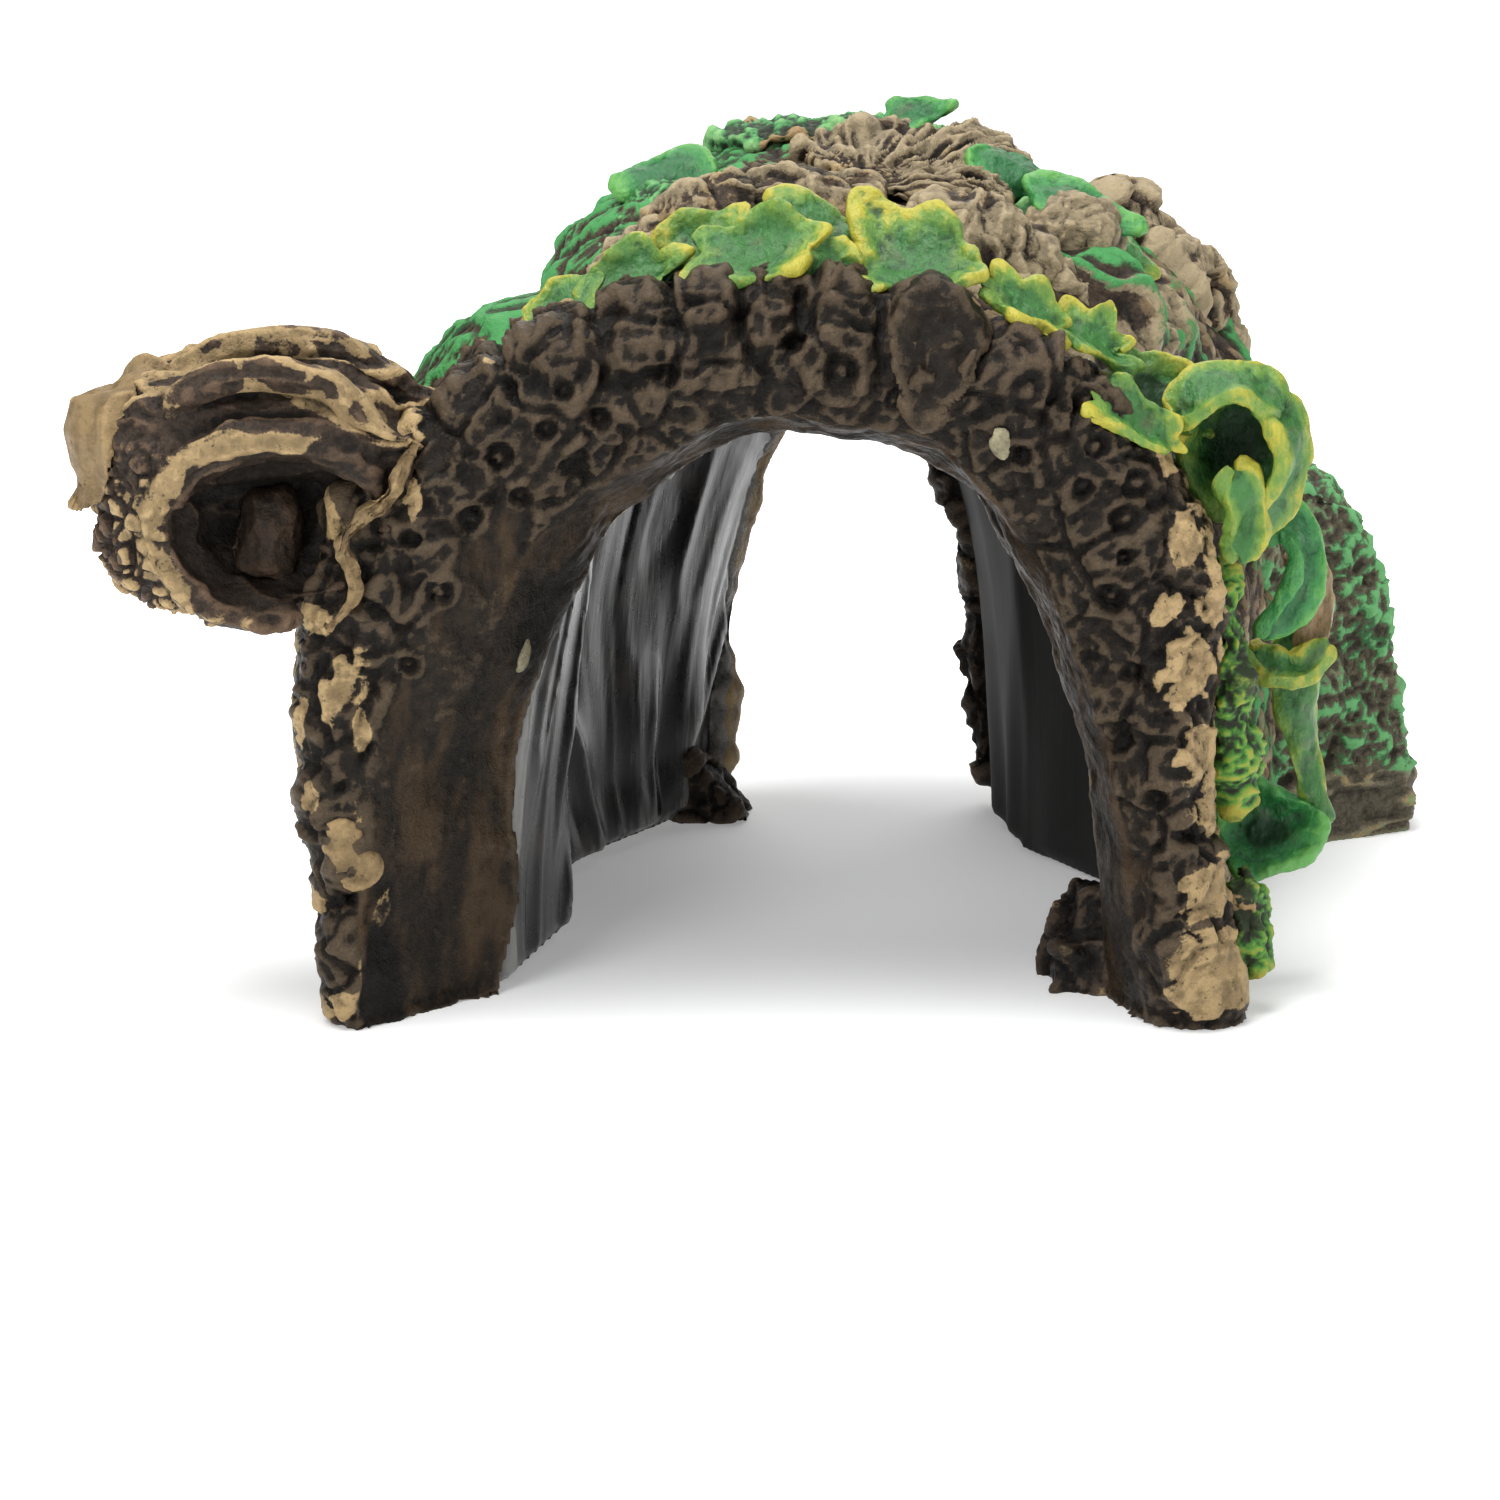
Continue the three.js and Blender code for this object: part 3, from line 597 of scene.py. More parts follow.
# Smooth patches that are painted tan: X, Z, half width and half height.
ARCH_TAN = (
    (42.6, 50.2, 1.7, 3.0), (43.2, 37.2, 2.6, 3.4), (44.8, 28.6, 2.6, 2.6), (46.8, 22.6, 1.6, 3.4),
    (46.2, 14.6, 2.6, 2.8), (46.6, 5.6, 4.4, 3.8), (41.0, 43.4, 1.4, 1.6), (34.2, 22.6, 1.2, 1.6),
    (-43.0, 41.8, 2.0, 1.4), (-40.4, 36.8, 0.8, 1.8), (-38.6, 31.4, 0.7, 2.4), (-44.2, 31.0, 0.8, 2.6),
    (-43.0, 24.6, 0.7, 1.6), (-43.8, 12.6, 0.8, 1.6), (-42.2, 1.8, 1.6, 0.9), (-37.4, 12.6, 0.8, 2.0),
    (-34.4, 61.4, 1.6, 1.8), (-32.8, 55.0, 0.9, 2.4), (19.2, 73.4, 3.0, 1.3), (41.8, 58.4, 2.4, 1.8),
    (46.0, 44.0, 1.4, 2.4), (-28.4, 67.4, 2.6, 0.9),
)


def arch_bark(at, facing):
    """The arch: blocks and deep cracks along the crown, ring-shaped pits, and smooth tan patches."""
    x, y, z = at.T
    left_leg = step_up(-x, 16, 27)
    turned_in = facing_in(at, facing) + 0.10 * noise(at, 4.0, 6.0)
    underside = step_up(turned_in, 0.45 - 0.36 * left_leg, 0.75 - 0.38 * left_leg)
    coarse = 1 - 0.85 * underside
    warped = at + 0.9 * noise(at, 3.2, 7.0)[:, None]
    wall, kind = cells(warped, 7.0)
    small_wall, small_kind = cells(warped, 3.1, 5.0)
    rim = np.exp(-((wall - 0.16) / 0.09) ** 2)
    height = coarse * (0.55 * step_up(wall, 0.0, 0.2) + 0.7 * (kind - 0.5) + 0.22 * rim - 0.35)
    height += coarse * (0.20 * step_up(small_wall, 0.0, 0.25) + 0.35 * (small_kind - 0.5))
    height += coarse * (0.55 * ridges(at, 3.4) + 0.30 * ridges(at, 1.6, 8.0) - 0.25)
    height += coarse * 0.45 * rough(at, 2.4, 3, 4.0)
    height += underside * (0.7 * rough(at * [1, 1, 0.5], 10.0, 2) + 0.10 * rough(at, 1.8, 2))
    height += 0.8 * rough(at, 10.0, 2, 3.0)
    flat = at * [1, 0, 1]
    on_face = step_up(-facing[:, 1], 0.05, 0.5)
    for px, pz, wide, tall, out in ARCH_BLOCKS:
        share = blob(flat, (px, 0, pz), (wide, 9, tall)) + 0.22 * noise(at, 2.2, 9.0)
        height += 0.8 * out * step_up(share, -0.05, 0.3) * (1 - 0.6 * underside)
    for (x0, z0), (x1, z1) in ARCH_CRACKS:
        near, share = along(flat + 0.5 * noise(at, 3.0, 2.0)[:, None], [(x0, 0, z0), (x1, 0, z1)])
        depth = 1.5 * (1 - 0.6 * share) * (1 - underside)
        height -= depth * np.exp(-(near / (0.5 - 0.2 * share)) ** 2)
    for px, pz, radius in ARCH_PITS:
        distance = np.linalg.norm(flat - [px, 0, pz], axis=1) / radius
        for tall, reach, width in PIT_RINGS:
            height += on_face * tall * np.exp(-((distance - reach) / width) ** 2)
    tan = np.zeros(len(at))
    edge = 0.45 * noise(at, 2.0, 1.0) + 0.30 * noise(at, 0.9, 6.0)
    for px, pz, wide, tall in ARCH_TAN:
        tan = np.maximum(tan, step_up(blob(flat, (px, 0, pz), (wide, 9, tall)) + edge, -0.12, 0.16))
    sides = step_up(np.abs(x - 3), 38, 45) * step_up(noise(at, 3.2, 8.0), 0.2, 0.5)
    rear = step_up(y, 5, 10) * step_up(noise(at, 5.0, 3.0), 0.05, 0.4) * (1 - underside)
    tan = np.maximum(tan, np.maximum(0.9 * sides, rear) * (1 - underside))
    height = height * (1 - 0.55 * tan) + 0.45 * tan
    height = height - 0.6 * step_up(1.2 - z, 0, 1.2) * np.sign(height)
    dark = underside * 0.9 * step_up(rough(at * [1, 1, 0.4], 9.0, 2, 5.0), 0.0, 0.7)
    tan = tan * (1 - 0.7 * underside)
    return np.clip(height, -2.4, 2.4), {"tan": tan, "dark": dark, "smooth": underside}


STRAND_CENTRE = (12.0, 36.0)    # X and Y where the roof's shredded strands start
# Where the log is fuller: the middle, the reach and how far it stands out.
LOG_SWELLS = (
    ((49, 58, 62), (14, 34, 20), 2.6), ((30, 25, 66), (17, 20, 13), 5.0),
    ((38, 40, 68), (12, 18, 12), 3.5), ((-27, 19, 60), (17, 22, 18), 9.5),
    ((-17, 36, 77), (15, 32, 15), 2.6), ((54, 60, 50), (12, 26, 16), 1.5),
)
# Dark holes in the roof: X and Y of the middle, and half their width and depth.
KNOT_HOLES = ((-3.0, 25.5, 6.5, 2.4), (-12.5, 26.0, 3.2, 1.8), (10.5, 33.0, 3.0, 2.2))


def log_bark(at, facing):
    """The log: shredded strands on the roof, plates behind, upright ridges down the sides, moss."""
    x, y, z = at.T
    upright = step_up(facing[:, 2], 0.15, 0.6)
    away = np.hypot(x - STRAND_CENTRE[0], y - STRAND_CENTRE[1])
    angle = np.arctan2(y - STRAND_CENTRE[1], x - STRAND_CENTRE[0])
    spoke = np.stack([np.cos(angle) * 9, np.sin(angle) * 9, away * 0.16], axis=1)
    strands = upright * step_up(x, 2, 10) * step_up(33 - away, 0, 12)
    ray = np.clip(1 - 2.2 * np.abs(noise(spoke + 0.5 * rough(at, 6.0, 2)[:, None], 1.9, 2.0)), 0, 1)
    wall, kind = cells(at * [1, 1, 0.55], 8.0, 3.0)
    small_wall, small_kind = cells(at, 2.6, 8.0)
    height = 0.9 * step_up(wall, 0, 0.25) + 1.0 * (kind - 0.5) - 0.5
    height += 0.35 * step_up(small_wall, 0, 0.3) + 0.4 * (small_kind - 0.5)
    height += 0.45 * rough(at, 3.0, 3, 2.0)
    furrow = ridges(at * [1, 1, 0.28], 3.0, 6.0)
    height += (1 - upright) * 0.8 * (furrow - 0.4)
    height = height * (1 - 0.75 * strands) + strands * (1.5 * ray - 0.7)
    for px, py, wide, deep in KNOT_HOLES:
        share = blob(at * [1, 1, 0], (px, py, 0), (wide, deep, 1))
        height -= 2.2 * step_up(share, -0.1, 0.5) * upright
    left_slope = step_up(-x, -6, 10) * step_up(z, 40, 54) * step_up(62 - y, 0, 12)
    top = step_up(z, 74, 80) * step_up(y, 40, 56) * step_up(26 - x, 0, 12)
    right = step_up(x, 20, 30) * step_up(y, 20, 34) * step_up(z, 44, 58)
    low_right = step_up(x, 40, 48) * step_up(46 - z, 0, 16) * step_up(y, 10, 22)
    low_right *= 0.75 * step_up(rough(at, 5.0, 3, 6.0), -0.3, 0.5)
    low_left = step_up(-x, 26, 32) * 0.55
    clump = step_up(rough(at, 9.0, 3, 1.0), -0.35, 0.5)
    green = left_slope * (0.55 + 0.45 * clump) + 0.85 * top + 0.8 * right * clump
    green = np.clip(green + low_right + low_left * clump, 0, 1)
    fuzz = ridges(at, 1.9, 7.0) * 0.3 + 0.45 * rough(at, 1.8, 3, 9.0)
    height = height * (1 - 0.45 * green) + green * fuzz
    tan = step_up(rough(at, 7.0, 3, 4.0), 0.15, 0.7) * (1 - 0.8 * green)
    tan = np.maximum(tan, strands * step_up(ray, 0.25, 0.6))
    height = np.clip(height, -2.6, 2.2) * step_up(z, 0.0, 1.5)
    turned_in = facing_in(at, facing)
    outer, inner = step_up(-turned_in, 0.0, 0.4), step_up(turned_in, 0.2, 0.6)
    height = height * (1 - 0.9 * inner) - 0.9 * inner
    for centre, radii, out in LOG_SWELLS:
        height = height + out * step_up(blob(at, centre, radii), 0.0, 0.6) * outer
    return height, {"tan": tan, "green": green}


def chunk(fluted=0.0, tan=0.7, seed=0.0, pitch=1.6, grown=0.0, steps=0.0, shaded=0.0):
    """A rule for a lump of broken bark.

    Fluted runs its ridges down its front, steps breaks it into flat plates, and what faces up less
    than shaded is painted dark and loses its tan, as painted shade.
    """
    def rule(at, facing):
        bent = at + 0.5 * rough(at, 3.0, 2, seed)[:, None]
        down = noise(bent * [1, 0.45, 0.22], pitch, seed)
        across = noise(bent * [0.30, 0.7, 1], pitch, seed + 4)
        crest = np.clip(1 - 2.4 * (fluted * np.abs(down) + (1 - fluted) * np.abs(across)), 0, 1)
        wall, kind = cells(bent, 4.6, seed)
        fine = fluted * noise(bent * [1, 0.4, 0.15], 0.9, seed)
        fine += (1 - fluted) * noise(bent * [0.2, 0.5, 1], 0.9, seed)
        height = grown + 0.9 * crest - 0.35 + 0.3 * rough(at, 1.5, 3, seed) - 0.45 * np.abs(fine)
        height += (0.5 + steps) * (kind - 0.5) + 0.3 * step_up(wall, 0, 0.12)
        height += 0.6 * rough(at, 4.5, 2, seed + 2)
        cover = np.clip(tan - 0.15 + 0.7 * noise(at, 3.0, seed) + 0.4 * crest, 0, 1)
        # Painted shade: faces that turn down are painted dark and lose their tan.
        shade = step_up(shaded + 0.6 * noise(at, 3.0, seed) - facing[:, 2], 0, 0.35) if shaded else 0
        gaps = step_up(0.25 - crest, 0, 0.25) * step_up(noise(at, 2.4, seed + 6), -0.2, 0.4)
        return height, {"tan": cover * (1 - shade), "dark": np.maximum(0.75 * gaps, 0.55 * shade)}
    return rule


def roof_strands(at, facing):
    """Shredded strands of bark that spread out over the roof from the knot."""
    away = np.hypot(at[:, 0] - STRAND_CENTRE[0], at[:, 1] - STRAND_CENTRE[1])
    angle = np.arctan2(at[:, 1] - STRAND_CENTRE[1], at[:, 0] - STRAND_CENTRE[0])
    spoke = np.stack([np.cos(angle) * 19, np.sin(angle) * 19, away * 0.16], axis=1)
    spoke += 0.7 * rough(at, 5.0, 2, 1.0)[:, None]
    wide, thin = noise(spoke, 2.0, 2.0), noise(spoke, 0.9, 5.0)
    crest = np.clip(1 - 2.2 * np.abs(wide), 0, 1)
    crest = np.maximum(crest, 0.7 * np.clip(1 - 2.0 * np.abs(thin), 0, 1)) * step_up(away, 1, 6)
    height = 1.4 * crest - 0.6 + 1.2 * rough(at, 4.0, 3, 4.0)
    tan = np.clip(0.2 + 0.5 * noise(at, 3.0) + 0.7 * crest, 0, 1)
    return height, {"tan": tan, "dark": 0.95 * step_up(0.35 - crest, 0, 0.3)}


def crown_tongue(at, facing):
    """The knob on the arch's crown: a smooth hollowed tongue inside a raised rim."""
    flat = blob(at * [1, 0, 1], (18.3, 0, 69.0), (5.4, 1, 8.2))
    front = step_up(-facing[:, 1], 0.2, 0.7)
    height = front * (0.5 * np.exp(-((flat - 0.2) / 0.12) ** 2) - 0.9 * step_up(flat, 0.25, 0.6))
    height += 0.45 * rough(at, 3.4, 3) + 0.35 * ridges(at, 2.6, 5.0)
    pit = np.linalg.norm(at * [1, 0, 1] - [16.4, 0, 66.4], axis=1)
    return height - front * 1.2 * np.exp(-(pit / 1.5) ** 2), {}


JAMB_LINE = ((3, -5), (16, -4), (30, -3.5), (42, -0.5), (51, 6))     # Z and X of its middle


def torn_jamb(at, facing):
    """The torn edge at the rear: a rippled grey skin with a strip of tan bark on its outside."""
    x, z = at[:, 0], at[:, 2]
    centre = np.interp(z, *zip(*JAMB_LINE))
    ripple = rough(at * [0, 0, 1], 8.0, 3, 0.4)
    height = 1.6 * ripple + 0.35 * rough(at * [1, 1, 0.5], 3.0, 3) + 0.6
    return height, {"tan": step_up(x - centre + 0.8 * ripple, 1.0, 1.5)}


def root_bark(at, facing):
    """The root: a web of mossy fibres, and bare bark along the ground."""
    z = at[:, 2]
    web = np.maximum(ridges(at, 1.9, 1.0), 0.8 * ridges(at * [1, 1, 0.7], 1.2, 6.0))
    height = 0.5 * web - 0.3 + 0.85 * rough(at, 2.0, 4, 3.0) + 1.7 * rough(at, 8.0, 2, 5.0)
    bare = step_up(8.5 + 2.5 * noise(at, 6.0) - z, 0, 2.5)
    folds = ridges(at * [0.4, 0.4, 1.3], 3.0, 2.0)
    height = height * (1 - bare) + bare * (1.1 * folds - 0.4 + 0.2 * rough(at, 1.5))
    green = (1 - bare) * np.clip(0.65 + 0.5 * rough(at, 6.0, 3, 3.0), 0, 1)
    return height * step_up(z, 0, 1.2), {"green": green, "tan": bare * 0.35 * folds}


def moss_pad(at, facing):
    """A moss pad: short fibres in tufts."""
    web = np.maximum(ridges(at, 2.2, 3.0), ridges(at, 1.2, 8.0))
    height = 0.3 * web - 0.2 + 0.75 * rough(at, 1.7, 4, 5.0) + 1.0 * rough(at, 5.0, 2)
    return height, {"green": np.clip(0.75 + 0.55 * noise(at, 5.0, 2.0), 0, 1),
                    "tan": 0.8 * step_up(noise(at, 4.0, 6.0), 0.3, 0.6)}


# ---------------------------------------------------------------- the branch

# The hollow, the rim round it and the shaded bark over it: the middle and the reach of each.
HOLLOW = ((-46.0, 0.0, 51.5), (12.0, 15.0, 9.0))
HOLLOW_RIM = ((-46.5, 0, 51.5), (13.5, 9, 10.5))
HOLLOW_SHADE = ((-40.0, 0, 53.0), (9.5, 9, 8.0))
TIP_KNOT = ((-66.6, 1.0, 60.0), (1.4, 3, 1.2))      # a small dark knot in the worn tip
FOLD_DROOP = 4.5        # how far the ends of the upper folds hang down onto the arch
# The torn edges on the branch: lines through them.
BRANCH_EDGES = (
    ((-58.5, 3, 61), (-55.5, -0.5, 65), (-49, -1, 67), (-41, -0.5, 66), (-34, 0, 62)),
    ((-57, 8, 66), (-50, 6, 68.6), (-41, 6.5, 68.8), (-31, 8, 67.5)),
)


def branch_bark(at, facing):
    """The branch stub: bark folds along the top, pores at the end, striped walls in the hollow."""
    x, y, z = at.T
    inside = step_up(blob(at, *HOLLOW), 0.0, 0.1)
    folds = ridges(at * [0.22, 1, 1], 3.6, 2.0)
    fine_folds = ridges(at * [0.25, 1, 1], 1.5, 7.0)
    pores, kind = cells(at + 0.5 * noise(at, 2.0)[:, None], 2.1, 4.0)
    end = step_up(-x, 50, 57) * step_up(63 - z, 0, 6) * (1 - inside)
    outside = (1 - inside) * (1 - end)
    height = outside * (1.2 * folds - 0.6 + 0.4 * fine_folds + 0.4 * rough(at, 2.6, 3))
    height += end * (0.9 * step_up(pores, 0.02, 0.3) * (0.3 + kind) - 0.5 + 0.5 * rough(at, 1.8, 3, 3.0))
    stripes = ridges(at * [0.3, 0.6, 1], 2.4, 5.0)
    height += inside * (0.7 * stripes - 0.3 + 0.35 * rough(at, 2.4, 3, 1.0))
    near = np.minimum(*(along(at, line)[0] for line in BRANCH_EDGES))
    rim = step_up(blob(at * [1, 0, 1], *HOLLOW_RIM), -0.16, 0.04) * step_up(3 - y, 0, 4)
    rim *= step_up(0.5 * (z - 55) - x - 42, 0, 3)
    shade = step_up(blob(at * [1, 0.3, 1], *HOLLOW_SHADE) + 0.3 * noise(at, 2.6, 2.0), 0.0, 0.2)
    edge = np.maximum(step_up(3.0 + 1.2 * noise(at, 3.0, 5.0) - near, 0, 1.4), rim * (1 - inside))
    height -= edge * (1 - inside) * (0.7 * height - 0.25 * noise(at * [0.4, 1, 1], 2.4, 8.0))
    thin = step_up(2.4 + 1.3 * noise(at, 3.0, 5.0) + 0.7 * noise(at, 1.1, 3.0) - near, 0, 0.9)
    tan = outside * step_up(folds + 0.35 * noise(at, 4.0), 0.45, 0.8) * step_up(z, 56, 66)
    tan = np.maximum(tan, end * step_up(noise(at, 4.0, 4.0), -0.1, 0.35) * step_up(pores, 0.1, 0.3))
    brushed = np.maximum(thin, 0.9 * rim * (1 - inside)) * step_up(noise(at, 3.0, 1.0), -0.45, 0.05)
    tan = np.maximum(tan, brushed) * (1 - np.maximum(inside, shade))
    # Painted shade: the hollow, darker the deeper in, and the bark hanging over it.
    dark = np.maximum(inside * (0.5 + 0.3 * step_up(y, -2, 6)), 0.6 * shade)
    return height, {"tan": tan, "dark": dark}


def hollow_lump(at, facing):
    """The soft lump at the bottom of the hollow."""
    return 0.8 * rough(at, 5.0, 3) - 0.9, {}


def worn_wood(at, facing):
    """The branch's smooth worn tip, with faint grain."""
    height = 0.5 * rough(at * [1, 1, 0.5], 5.0, 2) + 0.12 * ridges(at * [1, 1, 0.3], 1.6)
    height += 0.8 * ridges(at * [1, 1, 0.35], 5.5, 2.0) - 0.5
    above, below = np.maximum(at[:, 2] - 63.5, 0), np.maximum(60.5 - at[:, 2], 0)
    height -= step_up(-at[:, 0], 60, 66) * (0.8 * above + 0.32 * below)
    return height, {"tan": np.full(len(at), 0.95), "dark": step_up(-blob(at, *TIP_KNOT), -0.4, -0.9)}


def bark_fold(at, facing):
    """A torn edge of bark: smooth and light, notched here and there."""
    height = 0.9 * rough(at, 3.4, 2) + 0.25 * rough(at, 1.2, 2, 4.0)
    return height, {"tan": np.clip(0.75 + 0.5 * noise(at, 3.0, 5.0), 0, 1)}


# ---------------------------------------------------------------- lining

def lining_folds(at, facing):
    """The dark lining: soft folds that hang down the wall like cloth, and a torn front edge."""
    x, y, z = at.T
    swing = y + 0.28 * (z - 30) * np.sin(y * 0.11 + 0.6) + 3.0 * noise(at, 15.0)
    sheet = np.stack([swing, np.full(len(y), 4.0), z * 0.16 + 0.02 * x], axis=1)
    wide = noise(sheet, 8.5, 2.0)
    crease = ridges(sheet, 6.0, 6.0) - 0.8 * ridges(sheet, 9.0, 11.0)
    fine = noise(sheet * [1, 1, 0.6], 2.2, 9.0)
    inner = step_up(facing_in(at, facing), 0.2, 0.6)
    left = step_up(12 - x, 0, 16)
    flare = step_up(9 - z, 0, 9) * step_up(y, 30, 60) * left
    height = inner * (1.5 * wide + left * (0.75 * crease + 0.14 * fine) + 1.2 * flare)
    # Pale layer: painted highlight on the left wall's fold crests, fading towards the top, and the real
    # pale torn front edge.
    pale = 0.55 * step_up(wide + 0.7 * crease + 0.3 * fine, 0.0, 1.5) + 0.04
    pale *= left * step_up(62 - z, 0, 40)
    edge = step_up(18.2 + 1.1 * noise(at, 3.0, 4.0) - y, 0, 0.7) * left
    return height * step_up(z, 0.6, 2.0), {"pale": np.clip(pale + edge, 0, 1), "right": 1 - left}


# ---------------------------------------------------------------- leaves

# Every leaf: the way it points, the way its face looks, and its shape. Points are the lobes round
# its edge, and hollow is how much painted shade darkens its cupped middle.
LEAVES = {
    "leaf_crown_1": ((1, 0.2, 0.6), (-0.4, -0.7, 1),
                     dict(long=10, wide=6.5, cup=0.8, ruffle=0.6, points=5)),
    "leaf_crown_2": ((1, 0, 0.45), (-0.3, -0.8, 1),
                     dict(long=11, wide=7.5, cup=1.2, ruffle=0.9, points=5)),
    "leaf_crown_3": ((-1, 0.1, -0.25), (0, -0.8, 1),
                     dict(long=12, wide=7.5, cup=1.0, ruffle=0.9, points=5)),
    "leaf_crown_4": ((1, 0, 0.25), (0, -0.9, 1),
                     dict(long=13.5, wide=9.5, cup=1.9, ruffle=1.2, points=5)),
    "leaf_crown_5": ((1, 0, -0.15), (0, -0.9, 1),
                     dict(long=12, wide=7, cup=-1.4, droop=1, ruffle=0.9, points=3)),
    "leaf_crown_6": ((1, -0.1, -0.35), (0, -1, 0.8),
                     dict(long=9, wide=6.5, cup=1.6, ruffle=0.5, points=4, hollow=1)),
    "leaf_crown_7": ((1, -0.25, -0.1), (0, -0.9, 1),
                     dict(long=15, wide=11.5, cup=2.4, ruffle=1.5, points=5)),
    "leaf_vine_1": ((1, 0, -0.6), (0.4, -0.8, 1), dict(long=12, wide=6, cup=0.9, ruffle=0.9, points=8)),
    "leaf_vine_2": ((1, 0, -0.5), (0.5, -0.6, 1), dict(long=11, wide=7, cup=0.9, ruffle=1, points=8)),
    "leaf_vine_3": ((1, 0, -0.55), (0.3, -0.8, 0.8),
                    dict(long=13, wide=9, cup=2.4, droop=1.5, ruffle=0.8, points=5, hollow=1.3)),
    "leaf_vine_4": ((1, 0, -0.6), (0.3, -1, 0.5), dict(long=12, wide=5, cup=0.8, ruffle=0.7, points=6)),
    "leaf_foot": ((1, -0.1, 0.1), (-0.1, -1, 0.45),
                  dict(long=10.5, wide=9.5, cup=2.8, ruffle=0.7, points=3, hollow=0.8)),
    "leaf_top_left": ((-1, -0.2, -0.15), (-0.3, -0.9, 1),
                      dict(long=10, wide=7, cup=-1.6, droop=1, points=2)),
    "leaf_left_edge": ((-1, -0.2, -0.6), (-0.6, -0.6, 1), dict(long=7, wide=4.5, cup=0.6)),
    "leaf_summit": ((1, 0, 0.15), (0, -0.8, 1), dict(long=8, wide=5, cup=0.8, ruffle=0.8, points=3)),
    "leaf_right_1": ((1, -0.1, -0.5), (0.2, -0.8, 1),
                     dict(long=10, wide=7, cup=-1.4, droop=1, points=4)),
    "leaf_right_2": ((1, -0.1, -0.35), (0.4, -0.8, 1),
                     dict(long=9, wide=6, cup=-1.6, droop=1, points=4)),
    "leaf_knot_cap": ((1, -0.2, -0.25), (0.1, -0.5, 1),
                      dict(long=11, wide=7, cup=-1.4, droop=1.2, points=3)),
    "leaf_right_3": ((0.8, -0.1, -1), (1, -0.6, 0.6),
                     dict(long=10, wide=5.5, cup=-1, droop=0.8, points=3)),
}
# Leaves that are dark and glossy all over.
DARK_LEAVES = ("leaf_fold", "leaf_foot", "leaf_top_left", "leaf_left_edge", "leaf_summit",
               "leaf_right_1", "leaf_knot_cap")
# Leaves that sit a little off their frame solids, as the roof's bark does.
LEAF_SHIFTS = {"leaf_top_left": (4.0, 0, 2.6), "leaf_left_edge": (0, 0, 1.5),
               "leaf_knot_cap": (0, 5, 6.8)}
# The fleshy leaves down the right side: a line through each, in shares of its solid's box from
# the left, the bottom and the front, and its width, cup, lean and taper. A lean of 1 faces the
# front, and a small one makes a hood that reaches back.
TONGUES = {
    "leaf_curl_top": (((-0.1, 0.7, 0.2), (0.1, 0.92, 0.2), (0.46, 1.02, 0.25), (0.83, 0.94, 0.3),
                       (1.02, 0.75, 0.3)),
                      dict(wide=6.6, cup=0.6, lean=0.5)),
    "leaf_curl_side": (((0.3, 1.0, 0.1), (0.64, 0.8, 0.1), (0.74, 0.5, 0.1), (0.5, 0.17, 0.1),
                        (0.08, -0.02, 0.1)),
                       dict(wide=6.6, cup=0.7, lean=0.55)),
    "leaf_paddle": (((0.15, 1.2, 0.3), (0.32, 0.9, 0.1), (0.4, 0.55, 0.0), (0.28, 0.22, 0.1)),
                    dict(wide=4.6, cup=0.7, lean=0.95)),
    "leaf_fold": (((-0.2, 0.8, 0.2), (0.2, 1.0, 0.1), (0.52, 0.75, 0.1), (0.5, 0.35, 0.2),
                   (0.05, 0.0, 0.3)),
                  dict(wide=5.2, cup=0.9, lean=0.75)),
    "leaf_fold_back": (((0.2, 1.0, 0.1), (0.8, 0.75, 0.2), (0.95, 0.35, 0.2), (0.5, 0.0, 0.2)),
                       dict(wide=3.4, cup=0.5, lean=0.85)),
    "leaf_horn": (((0.3, 1.05, 0.3), (0.38, 0.8, 0.2), (0.5, 0.5, 0.2), (0.72, 0.2, 0.2),
                   (0.92, 0.0, 0.3)),
                  dict(wide=6.4, cup=-0.9, lean=0.9, taper=0.9)),
    "leaf_horn_cup": (((0.0, 0.5, 0.1), (0.3, 0.1, 0.0), (0.6, 0.05, 0.0), (0.95, 0.6, 0.1)),
                      dict(wide=3.6, cup=0.5, lean=0.8)),
}
LEAF_GRAIN = 22         # faces along and across a leaf before it's smoothed
LEAF_THICKNESS = 1.05
TONGUE_THICKNESS = 1.5


def leaf_sheet():
    """A flat square of faces, and its vertices' places in it, between -1 and 1."""
    deselect()
    bpy.ops.mesh.primitive_grid_add(x_subdivisions=LEAF_GRAIN, y_subdivisions=LEAF_GRAIN, size=2)
    sheet = bpy.context.active_object
    flat = np.empty(len(sheet.data.vertices) * 3)
    sheet.data.vertices.foreach_get("co", flat)
    return sheet, flat.reshape(-1, 3)[:, :2]


def disc(flat):
    """A square's places drawn in to a disc."""
    u, v = flat.T
    return u * np.sqrt(1 - 0.5 * v * v), v * np.sqrt(1 - 0.5 * u * u)


